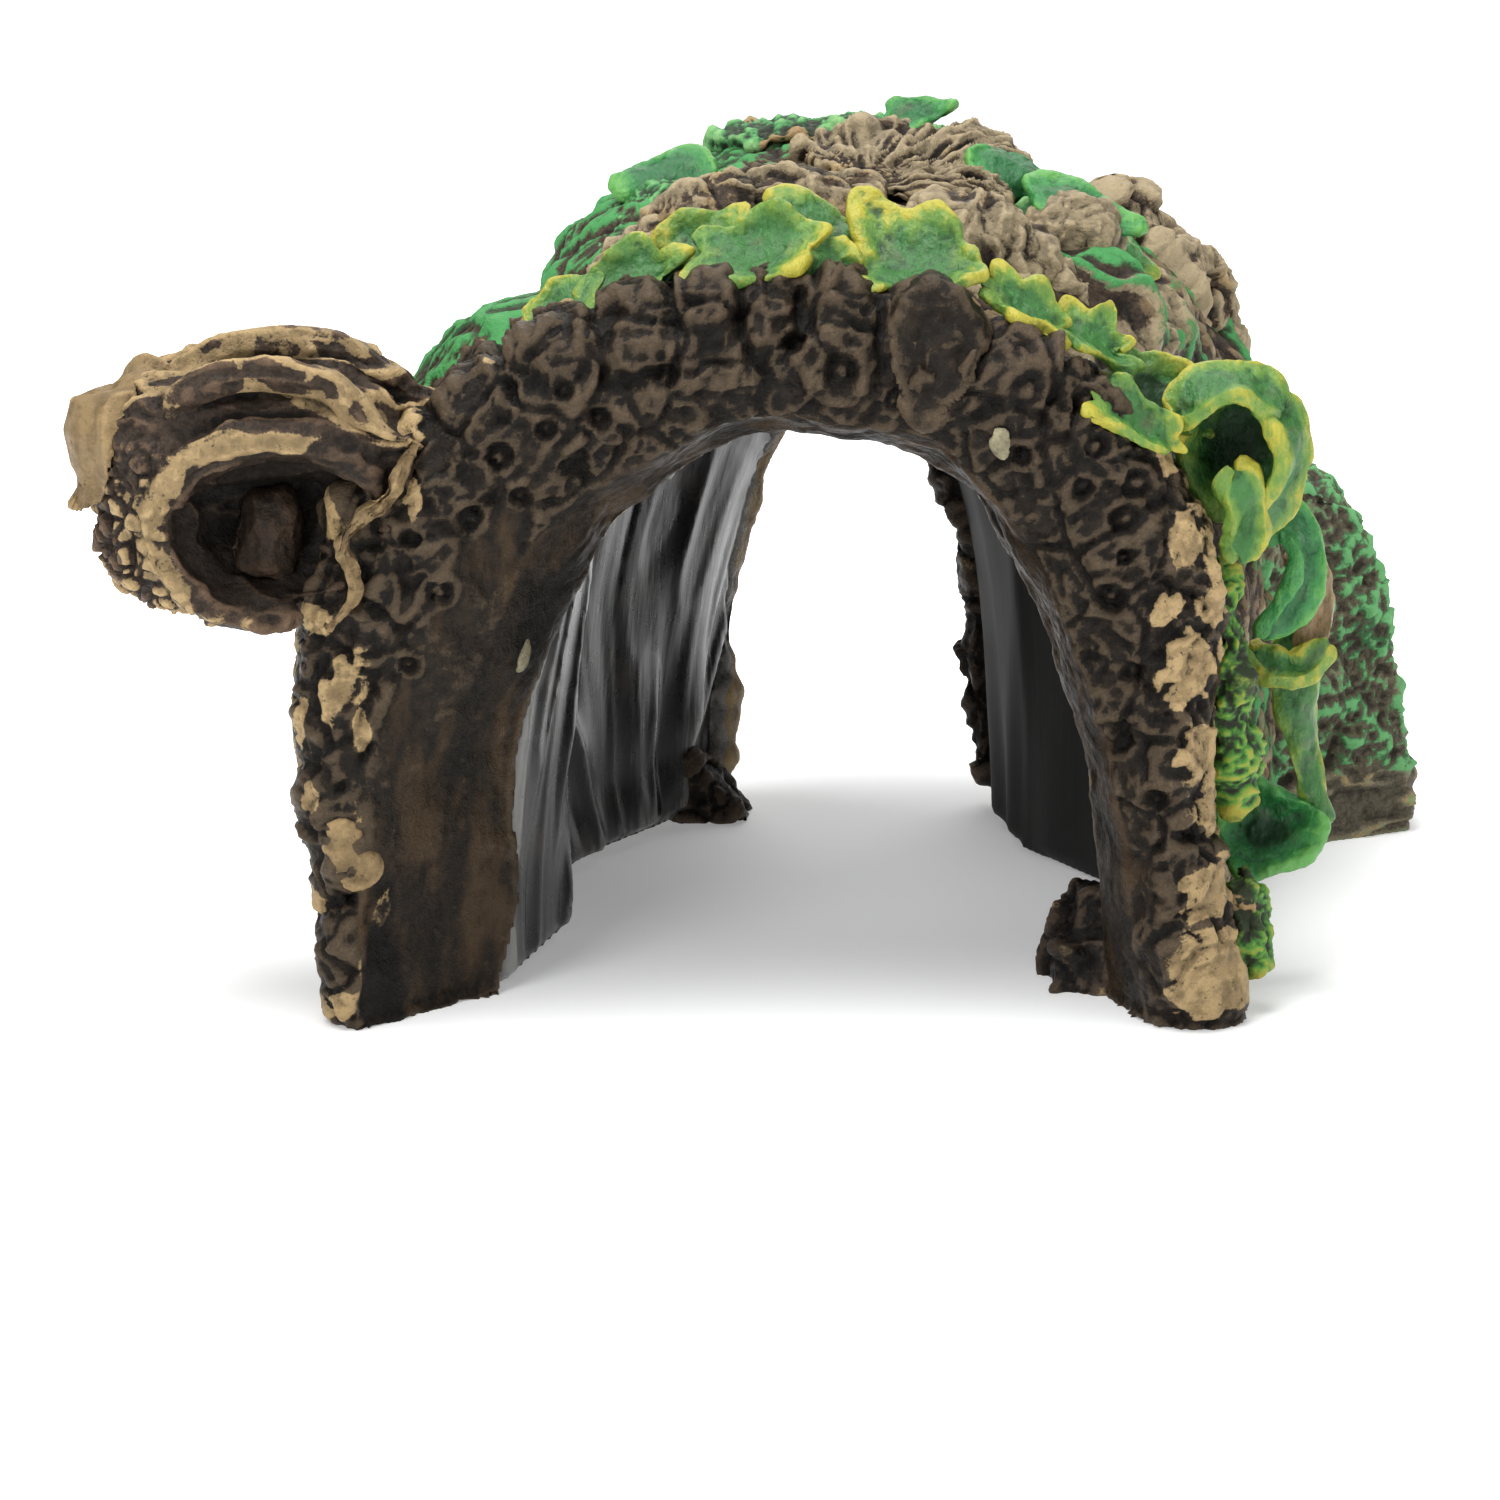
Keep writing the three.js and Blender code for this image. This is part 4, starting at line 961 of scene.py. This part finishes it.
def tongue_surface(flat, node, spine, wide, cup=0.0, lean=1.0, taper=0.0):
    """A fleshy leaf's places from a square's, and how near each is to the rim."""
    u, v = flat.T
    low, high = (np.array(corner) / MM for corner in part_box(node))
    line = np.array([low + (high - low) * [across, deep, up] for across, up, deep in spine])
    share = (0.5 + 0.5 * u) * (len(line) - 1)
    step = np.clip(np.floor(share).astype(int), 0, len(line) - 2)
    t = (share - step)[:, None]
    before, after = line[np.maximum(step - 1, 0)], line[np.minimum(step + 2, len(line) - 1)]
    start, end = line[step], line[step + 1]
    place = 0.5 * (2 * start + (end - before) * t + (2 * before - 5 * start + 4 * end - after) * t ** 2
                   + (3 * start - before - 3 * end + after) * t ** 3)
    way = 0.5 * ((end - before) + 2 * (2 * before - 5 * start + 4 * end - after) * t
                 + 3 * (3 * start - before - 3 * end + after) * t ** 2)
    way /= np.linalg.norm(way, axis=1)[:, None]
    outward = np.stack([-way[:, 2], np.zeros(len(u)), way[:, 0]], axis=1)
    side = outward * lean + np.array([0, math.sqrt(1 - lean * lean), 0])
    face = np.cross(side, way)
    width = 0.5 * wide * np.clip(1 - u ** 4, 0.02, 1) ** 0.5 * (1 - taper * (0.5 + 0.5 * u))
    place = place + side * (v * width)[:, None] + face * (cup * (1 - v * v))[:, None]
    place = place + face * (0.35 * np.sin(5 * u + 2 * v))[:, None]
    return place, 0.75 * step_up(np.abs(v), 0.1, 1.0) + 0.25 * step_up(v, -0.5, 0.8)


def leaf_surface(flat, long, wide, cup=0.0, droop=0.0, ruffle=0.0, points=0, hollow=0.0, taper=0.3):
    """A leaf's places from a square's, between -1 and 1, and how near each is to the rim."""
    x, y = disc(flat)
    out = np.hypot(x, y)
    turn = np.arctan2(y, x)
    circle = np.stack([np.cos(turn), np.sin(turn), np.full(len(x), long + wide)], axis=1)
    wave = 0.6 * np.cos(points * turn + 0.9 * np.sin(2 * turn + long))
    wave += 1.3 * noise(circle * points, 3.2, long)
    lobe = 1 + (0.24 * wave * out if points else 0)
    vein = wave * out if points else np.exp(-(y / 0.16) ** 2) - 0.5
    height = cup * (0.7 * y * y + 0.3 * out ** 2) - droop * (0.5 + 0.5 * x) ** 2
    height = height + ruffle * out * vein * 0.55 + ruffle * 0.4 * out ** 2 * np.sin(2 * turn + long)
    height = height + 0.2 * np.exp(-((out - 0.9) / 0.16) ** 2)
    crumple = np.stack([0.5 * long * x, 0.5 * wide * y, np.full(len(x), 3.7 * long)], axis=1)
    height = height + 0.7 * rough(crumple, 3.4, 2) * (0.4 + out)
    place = np.stack([0.5 * long * x * lobe, 0.5 * wide * y * lobe * (1 - taper * x), height], axis=1)
    rim = step_up(out, 0.2, 1.1) * (0.85 + 0.5 * noise(circle, 0.9, wide))
    rim += 0.35 * step_up(vein, 0.2, 1.0) * out
    return place, np.clip(rim, 0, 1.2), hollow * step_up(0.75 - out, 0, 0.5)


def leaf_grain(at, facing):
    """A leaf's skin: soft lumps, faint folds and brush marks."""
    return 0.34 * rough(at, 2.6, 3) + 0.16 * ridges(at, 1.6, 4.0), {}


def seed_grain(at, facing):
    """A seed's skin."""
    return 0.08 * rough(at, 1.2, 2), {}


BOWL = ((49.0, 13.5, 58.0), (6.0, 4.0, 7.4))     # the curled leaf's hollow: its middle and its reach


def add_bowl(piece):
    """Closes the back of the curled leaf with a bowl, painted darkest in its middle as the curl's shade.
    """
    bowl, flat = leaf_sheet()
    x, z = disc(flat)
    out = np.clip(np.hypot(x, z), 0, 1)
    at = np.array(BOWL[0]) + np.stack([x, -out ** 2, z], axis=1) * BOWL[1]
    bowl.data.vertices.foreach_set("co", ((at + MOUTH) * MM).ravel())
    remember(bowl.data, rim=0.6 * out, dark=1.1 - 0.7 * out)
    bowl.select_set(True)
    piece.select_set(True)
    bpy.context.view_layer.objects.active = piece
    bpy.ops.object.join()


def make_leaf(node, material, slot):
    """Models one leaf where its frame solid is."""
    piece, flat = leaf_sheet()
    piece.name = "painted_" + node
    mesh = piece.data
    if node in TONGUES:
        spine, shape = TONGUES[node]
        turned, rim = tongue_surface(flat, node, spine, **shape)
        hollow, thickness = np.zeros(len(flat)), TONGUE_THICKNESS
    else:
        along_leaf, face, shape = LEAVES[node]
        shift = np.array(LEAF_SHIFTS.get(node, (0, 0, 0)))
        place, rim, hollow = leaf_surface(flat, **shape)
        ahead = Vector(along_leaf).normalized()
        out = Vector(face)
        out = (out - ahead * out.dot(ahead)).normalized()
        turned = place @ np.array([ahead, out.cross(ahead), out])
        low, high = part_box(node)
        middle = np.array((low + high) / 2) / MM + shift
        turned += middle - (turned.min(axis=0) + turned.max(axis=0)) / 2
        thickness = LEAF_THICKNESS
    mesh.vertices.foreach_set("co", (turned * MM).ravel())
    mesh.update()
    # The dark layer of a cupped leaf is painted shade in its middle.
    remember(mesh, rim=rim, dark=hollow)
    if node == "leaf_curl_side":
        add_bowl(piece)
    apply(piece, "SOLIDIFY", thickness=thickness * MM, offset=0.0)
    apply(piece, "SUBSURF", levels=1, render_levels=1)
    sculpt(piece, leaf_grain)
    return finish_piece(piece, material, slot, node)


# ---------------------------------------------------------------- settings

def colour_of(name, description, code):
    return bpy.props.FloatVectorProperty(
        name=name, description=description, size=4, subtype="COLOR", min=0, max=1, default=srgb(code))


class BarkSettings(bpy.types.PropertyGroup):
    """Colours of the cast bark, and how far its surface is swollen."""
    arch_body: colour_of("Arch", "Body colour of the arch's bark", 0x1D1914)
    arch_warm: colour_of("Arch, warm", "Browner areas of the arch", 0x2B231B)
    arch_brushed: colour_of("Arch ridges", "Paint brushed over the arch's ridges", 0x463B2E)
    log_body: colour_of("Log", "Body colour of the log's bark", 0x3A3027)
    tan: colour_of("Tan patches", "Paint of the worn tan patches", 0x97815D)
    pale: colour_of("Pale wood", "Paint of the torn strands and boulders", 0x8E8066)
    # This colour also paints the shade in the hollows and under ledges.
    wash_and_shade: colour_of("Wash", "Dark wash left in the hollows", 0x0E0C0A)
    swell: bpy.props.FloatProperty(
        name="Swell", description="How far the surface stands out before it is sculpted",
        default=0.25 * MM, unit="LENGTH", min=0, max=1 * MM)


class GreenerySettings(bpy.types.PropertyGroup):
    """Colours of the moss and the leaves."""
    moss_deep: colour_of("Moss, deep", "Moss between its fibres", 0x2E482C)
    moss_bright: colour_of("Moss, bright", "Moss on its fibres", 0x468C50)
    leaf_inner: colour_of("Leaf", "Green of a leaf's middle", 0x356B31)
    leaf_edge: colour_of("Leaf edge", "Yellow brushed on a leaf's edge", 0xB2A636)
    leaf_dark: colour_of("Dark leaf", "Green of the dark glossy leaves", 0x1D6231)


class LiningSettings(bpy.types.PropertyGroup):
    """Colours of the bare resin inside the tunnel."""
    lining: colour_of("Lining", "Dark resin of the tunnel's lining", 0x171718)
    # This colour also paints the highlight on the left wall's folds.
    streak_and_highlight: colour_of("Streaks", "Light streaks on the lining's folds", 0x8E8D8A)


class StageSettings(bpy.types.PropertyGroup):
    """The camera and the light."""
    distance: bpy.props.FloatProperty(
        name="Camera distance", description="From the arch's face to the camera, over the ground",
        default=457.4 * MM, unit="LENGTH", min=0.1, max=3)
    height: bpy.props.FloatProperty(
        name="Camera height", description="Height of the camera over the ground",
        default=136.56 * MM, unit="LENGTH", min=0, max=2)
    pitch: bpy.props.FloatProperty(
        name="Camera pitch", description="How far the camera looks down",
        default=math.radians(13.205), subtype="ANGLE", min=0, max=1.5)
    lens: bpy.props.FloatProperty(
        name="Lens", description="Focal length in millimetres, on a 36 mm sensor",
        default=113.24, min=20, max=300)
    shade: bpy.props.FloatProperty(
        name="Shaded floor", description="How far from the middle the floor still shows shadows",
        default=60 * MM, unit="LENGTH", min=0.01, max=1)
    floor: colour_of("Floor", "Colour of the floor", 0xE8E9E9)
    sky: bpy.props.FloatProperty(
        name="Sky", description="Strength of the even white light from all sides",
        default=0.20, min=0, max=2)


# The soft lights: the place, how wide it is in metres and its power in watts.
LIGHTS = {
    "top_light": ((-90, -60, 620), 0.36, 4.7),
    "front_light": ((-260, -430, 380), 0.22, 1.5),
    "right_light": ((420, -160, 260), 0.35, 0.7),
    "rear_light": ((60, 520, 420), 0.50, 1.6),
}
LIT = (0, 40, 35)           # where they all point
FLOOR_GLOW = (0.25, 1.0)    # the floor's own light, near the middle and far away
FADE = 2.6                  # how far out the floor is all light, in shares of its shaded part


# ---------------------------------------------------------------- operators

class SculptArch(bpy.types.Operator):
    """Sculpts and paints the front arch and the knob on its crown"""
    bl_idname = "log_cave.arch"
    bl_label = "Front arch"

    def execute(self, context):
        bark = context.scene.log_cave_bark
        paint = bark_paint("arch_bark", bark.arch_body, bark.arch_warm, bark.wash_and_shade, bark.arch_brushed,
                           bark.tan, gloss=0.3, shine=0.12)
        cast_piece("front_arch", arch_bark, paint, "arch_bark", 0.43)
        cast_piece("crown_knob", crown_tongue, paint, "arch_bark", 0.28)
        return {"FINISHED"}


class SculptLog(bpy.types.Operator):
    """Sculpts and paints the log behind the arch"""
    bl_idname = "log_cave.log"
    bl_label = "Log"

    def execute(self, context):
        bark, green = context.scene.log_cave_bark, context.scene.log_cave_greenery
        paint = bark_paint("log_bark", bark.log_body, srgb(0x4A3C2F), bark.wash_and_shade, srgb(0x76634B),
                           bark.pale, green=(green.moss_deep, green.moss_bright), gloss=0.5)
        cast_piece("log_shell", log_bark, paint, "log_bark", 0.73)
        cast_piece("rear_plate", log_bark, paint, "log_bark", 0.4)
        root = bark_paint("root_bark", srgb(0x5A5446), srgb(0x645C4A), srgb(0x2C2820), srgb(0x7A735E),
                          bark.tan, green=(srgb(0x3A6640), srgb(0x66A56A)), gloss=0.55)
        cast_piece("rear_root", root_bark, root, "log_bark", 0.45)
        return {"FINISHED"}


class SculptBranch(bpy.types.Operator):
    """Sculpts and paints the hollow branch stub and its torn edges"""
    bl_idname = "log_cave.branch"
    bl_label = "Branch stub"

    def execute(self, context):
        bark = context.scene.log_cave_bark
        paint = bark_paint("branch_bark", bark.log_body, srgb(0x3B2F26), bark.wash_and_shade, srgb(0x5A4838),
                           bark.tan, gloss=0.45)
        folds = ("branch_stub", "hollow_rim", "upper_bark_fold", "top_bark_fold")
        stub = joined_clay(folds, "cast_branch_stub", 0.32, 9, 0.35)
        at = places(stub.data)[0]
        ends = step_up(at[:, 0], -42, -31) * step_up(at[:, 2], 60, 65)
        at[:, 2] -= FOLD_DROOP * ends
        put(stub.data, at)
        sculpt(stub, branch_bark)
        finish_piece(stub, paint, "branch_bark", *folds)
        # The lump's paint is a darker copy of the branch's bark: painted shade at the bottom of the
        # hollow.
        core = bark_paint("branch_core", srgb(0x2E241C), srgb(0x3A2C21), bark.wash_and_shade, srgb(0x46372A),
                          bark.tan)
        cast_piece("branch_core", hollow_lump, core, "branch_bark", 0.3)
        wood = bark_paint("worn_wood", srgb(0x6A563A), srgb(0x7A6545), srgb(0x3A2F24), srgb(0x8E7955),
                          srgb(0x867150), brush_low=0.5, gloss=0.45)
        cast_piece("branch_tip", worn_wood, wood, "pale_bark", 0.28)
        for node, swell in (("junction_lip", -0.55), ("bud_foot", 0.2)):
            cast_piece(node, bark_fold, wood, "pale_bark", 0.25, swell=swell)
        return {"FINISHED"}


class SculptRoof(bpy.types.Operator):
    """Sculpts and paints the broken bark on the roof and the torn edges at the rear"""
    bl_idname = "log_cave.roof"
    bl_label = "Roof bark"

    def execute(self, context):
        bark = context.scene.log_cave_bark
        paint = bark_paint("pale_bark", srgb(0x453A30), srgb(0x5C4C3B), bark.wash_and_shade, srgb(0x96825F),
                           bark.pale, brush_low=0.2, brush_high=1.1, gloss=0.5)
        jamb = bark_paint("rear_jamb", srgb(0x6E6D6A), srgb(0x7C7A75), srgb(0x2B2723), srgb(0x95918A),
                          bark.tan, gloss=0.4)
        cast_piece("rear_left_jamb", torn_jamb, jamb, "pale_bark", 0.3)
        for node, rule in (
            ("roof_ledge", chunk(fluted=0.1, tan=0.65, seed=1.0, pitch=2.6, steps=0.8, shaded=0.55)),
            ("roof_boulder_left", chunk(fluted=0.3, tan=0.7, seed=2.0)),
            ("roof_boulder_middle", chunk(fluted=1.0, tan=0.7, seed=3.0, pitch=2.4, grown=0.4)),
            ("roof_boulder_right", chunk(fluted=0.7, tan=0.65, seed=4.0)),
            ("knot_stub", chunk(fluted=0.8, tan=0.9, seed=5.0, pitch=5.0, grown=0.3)),
            ("knot_stub_small", chunk(fluted=0.2, tan=0.7, seed=6.0, pitch=3.0)),
            ("roof_strips", roof_strands),
            ("shoulder_plate", chunk(fluted=0.2, tan=0.65, seed=8.0, pitch=3.6, grown=1.8, steps=2.2)),
        ):
            cast_piece(node, rule, paint, "pale_bark", 0.3)
        return {"FINISHED"}


class SculptLining(bpy.types.Operator):
    """Sculpts and paints the dark resin inside the tunnel and at its feet"""
    bl_idname = "log_cave.lining"
    bl_label = "Tunnel lining"

    def execute(self, context):
        lining, bark = context.scene.log_cave_lining, context.scene.log_cave_bark
        paint = resin_paint(lining.lining, lining.streak_and_highlight)
        cast_piece("tunnel_lining", lining_folds, paint, "dark_resin", 0.64, swell=0.0)
        toe = bark_paint("dark_toes", srgb(0x1D1916), srgb(0x29221C), srgb(0x0D0B0A), srgb(0x463A2F),
                         bark.tan, gloss=0.35)
        rule = chunk(fluted=0.5, tan=-0.25, seed=4.0, pitch=3.2, steps=1.4)
        for node in ("right_root_toe", "rear_left_toe", "rear_right_jamb"):
            cast_piece(node, rule, toe, "dark_resin", 0.35, rounding=9)
        return {"FINISHED"}


class SculptMoss(bpy.types.Operator):
    """Sculpts and paints the moss pads"""
    bl_idname = "log_cave.moss"
    bl_label = "Moss"

    def execute(self, context):
        green = context.scene.log_cave_greenery
        slope = moss_paint("moss_slope", srgb(0x2A3626), green.moss_deep, green.moss_bright,
                           srgb(0x7FAF70))
        leg = moss_paint("moss_leg", srgb(0x26301A), srgb(0x35662A), srgb(0x5C9436), srgb(0xA39C3C))
        for node in ("moss_left_slope", "moss_top", "moss_right_shoulder"):
            cast_piece(node, moss_pad, slope, "moss", 0.3)
        for node in ("moss_leg_strip", "moss_foot_sprig"):
            cast_piece(node, moss_pad, leg, "moss", 0.27)
        return {"FINISHED"}


class ModelLeaves(bpy.types.Operator):
    """Models and paints every leaf and the two seeds"""
    bl_idname = "log_cave.leaves"
    bl_label = "Leaves and seeds"

    def execute(self, context):
        green, bark = context.scene.log_cave_greenery, context.scene.log_cave_bark
        light = leaf_paint("leaf", green.leaf_inner, srgb(0x638735), green.leaf_edge, srgb(0x16391A))
        dark = leaf_paint("leaf_dark", green.leaf_dark, srgb(0x2F7D3C), srgb(0x5E9E4A), srgb(0x0C3A1C))
        back = leaf_paint("leaf_back", srgb(0x8C7350), srgb(0x7A6648), bark.tan, bark.wash_and_shade)
        for node in (*LEAVES, *TONGUES):
            if node == "leaf_fold_back":
                make_leaf(node, back, "pale_bark")
            elif node in DARK_LEAVES:
                make_leaf(node, dark, "leaf_dark")
            else:
                make_leaf(node, light, "leaf")
        seed = bark_paint("seed", srgb(0x7A745E), srgb(0x6C6650), srgb(0x4A4234), srgb(0x8E886E),
                          srgb(0x8E886E))
        for node in ("seed_mouth", "seed_crown"):
            cast_piece(node, seed_grain, seed, "seed", 0.2)
        return {"FINISHED"}


class BuildStage(bpy.types.Operator):
    """Adds the pale floor, the soft lights and the camera"""
    bl_idname = "log_cave.stage"
    bl_label = "Stage"

    def execute(self, context):
        stage = context.scene.log_cave_stage
        deselect()
        bpy.ops.mesh.primitive_plane_add(size=6.0)
        floor = bpy.context.active_object
        floor.name = "floor"
        paint = Paint("floor", roughness=0.6, shine=0.2)
        paint.brush(stage.floor)
        middle = paint.tree.nodes.new("ShaderNodeVectorMath")
        middle.operation = "LENGTH"
        paint.link(paint.coordinates, middle.inputs[0])
        glow = paint.ramp(middle.outputs["Value"], stage.shade, FADE * stage.shade)
        paint.shader.inputs["Emission Color"].default_value = (1, 1, 1, 1)
        near, far = FLOOR_GLOW
        glow = paint.maths("MULTIPLY_ADD", glow, far - near, near)
        paint.link(glow, paint.shader.inputs["Emission Strength"])
        floor.data.materials.append(paint.done())

        world = bpy.data.worlds.new("studio")
        world.use_nodes = True
        world.node_tree.nodes["Background"].inputs["Color"].default_value = (1, 1, 1, 1)
        world.node_tree.nodes["Background"].inputs["Strength"].default_value = stage.sky
        context.scene.world = world

        for name, (place, size, power) in LIGHTS.items():
            bpy.ops.object.light_add(type="AREA")
            light = bpy.context.active_object
            light.name = name
            light.data.size = size
            light.data.energy = power
            light.location = (place + MOUTH) * MM
            aim = Vector((LIT + MOUTH) * MM) - light.location
            light.rotation_euler = aim.to_track_quat("-Z", "Y").to_euler()

        bpy.ops.object.camera_add()
        camera = bpy.context.active_object
        camera.name = "camera"
        camera.location = (MOUTH[0] * MM, MOUTH[1] * MM - stage.distance, stage.height)
        camera.rotation_euler = (math.pi / 2 - stage.pitch, 0, 0)
        camera.data.sensor_width = 36.0
        camera.data.lens = stage.lens
        camera.data.clip_start = 0.01
        context.scene.camera = camera
        context.scene.view_settings.view_transform = "Standard"
        return {"FINISHED"}


# ---------------------------------------------------------------- panel and registration

OPERATORS = (SculptArch, SculptLog, SculptBranch, SculptRoof, SculptLining, SculptMoss, ModelLeaves,
             BuildStage)
SETTINGS = (("log_cave_bark", BarkSettings), ("log_cave_greenery", GreenerySettings),
            ("log_cave_lining", LiningSettings), ("log_cave_stage", StageSettings))


class LogCavePanel(bpy.types.Panel):
    """Lists the settings and the steps that build the log cave"""
    bl_idname = "VIEW3D_PT_log_cave"
    bl_label = "Log Cave"
    bl_space_type = "VIEW_3D"
    bl_region_type = "UI"
    bl_category = "Log Cave"

    def draw(self, context):
        for attribute, group in SETTINGS:
            box = self.layout.box()
            box.label(text=group.__doc__)
            for name in group.__annotations__:
                box.prop(getattr(context.scene, attribute), name)
        for operator in OPERATORS:
            self.layout.operator(operator.bl_idname)


def register():
    for attribute, group in SETTINGS:
        bpy.utils.register_class(group)
        setattr(bpy.types.Scene, attribute, bpy.props.PointerProperty(type=group))
    for kind in (*OPERATORS, LogCavePanel):
        bpy.utils.register_class(kind)


def unregister():
    for kind in reversed((*OPERATORS, LogCavePanel)):
        bpy.utils.unregister_class(kind)
    for attribute, group in reversed(SETTINGS):
        delattr(bpy.types.Scene, attribute)
        bpy.utils.unregister_class(group)


def main():
    register()
    for operator in OPERATORS:
        group, name = operator.bl_idname.split(".")
        getattr(getattr(bpy.ops, group), name)()


if __name__ == "__main__":
    main()
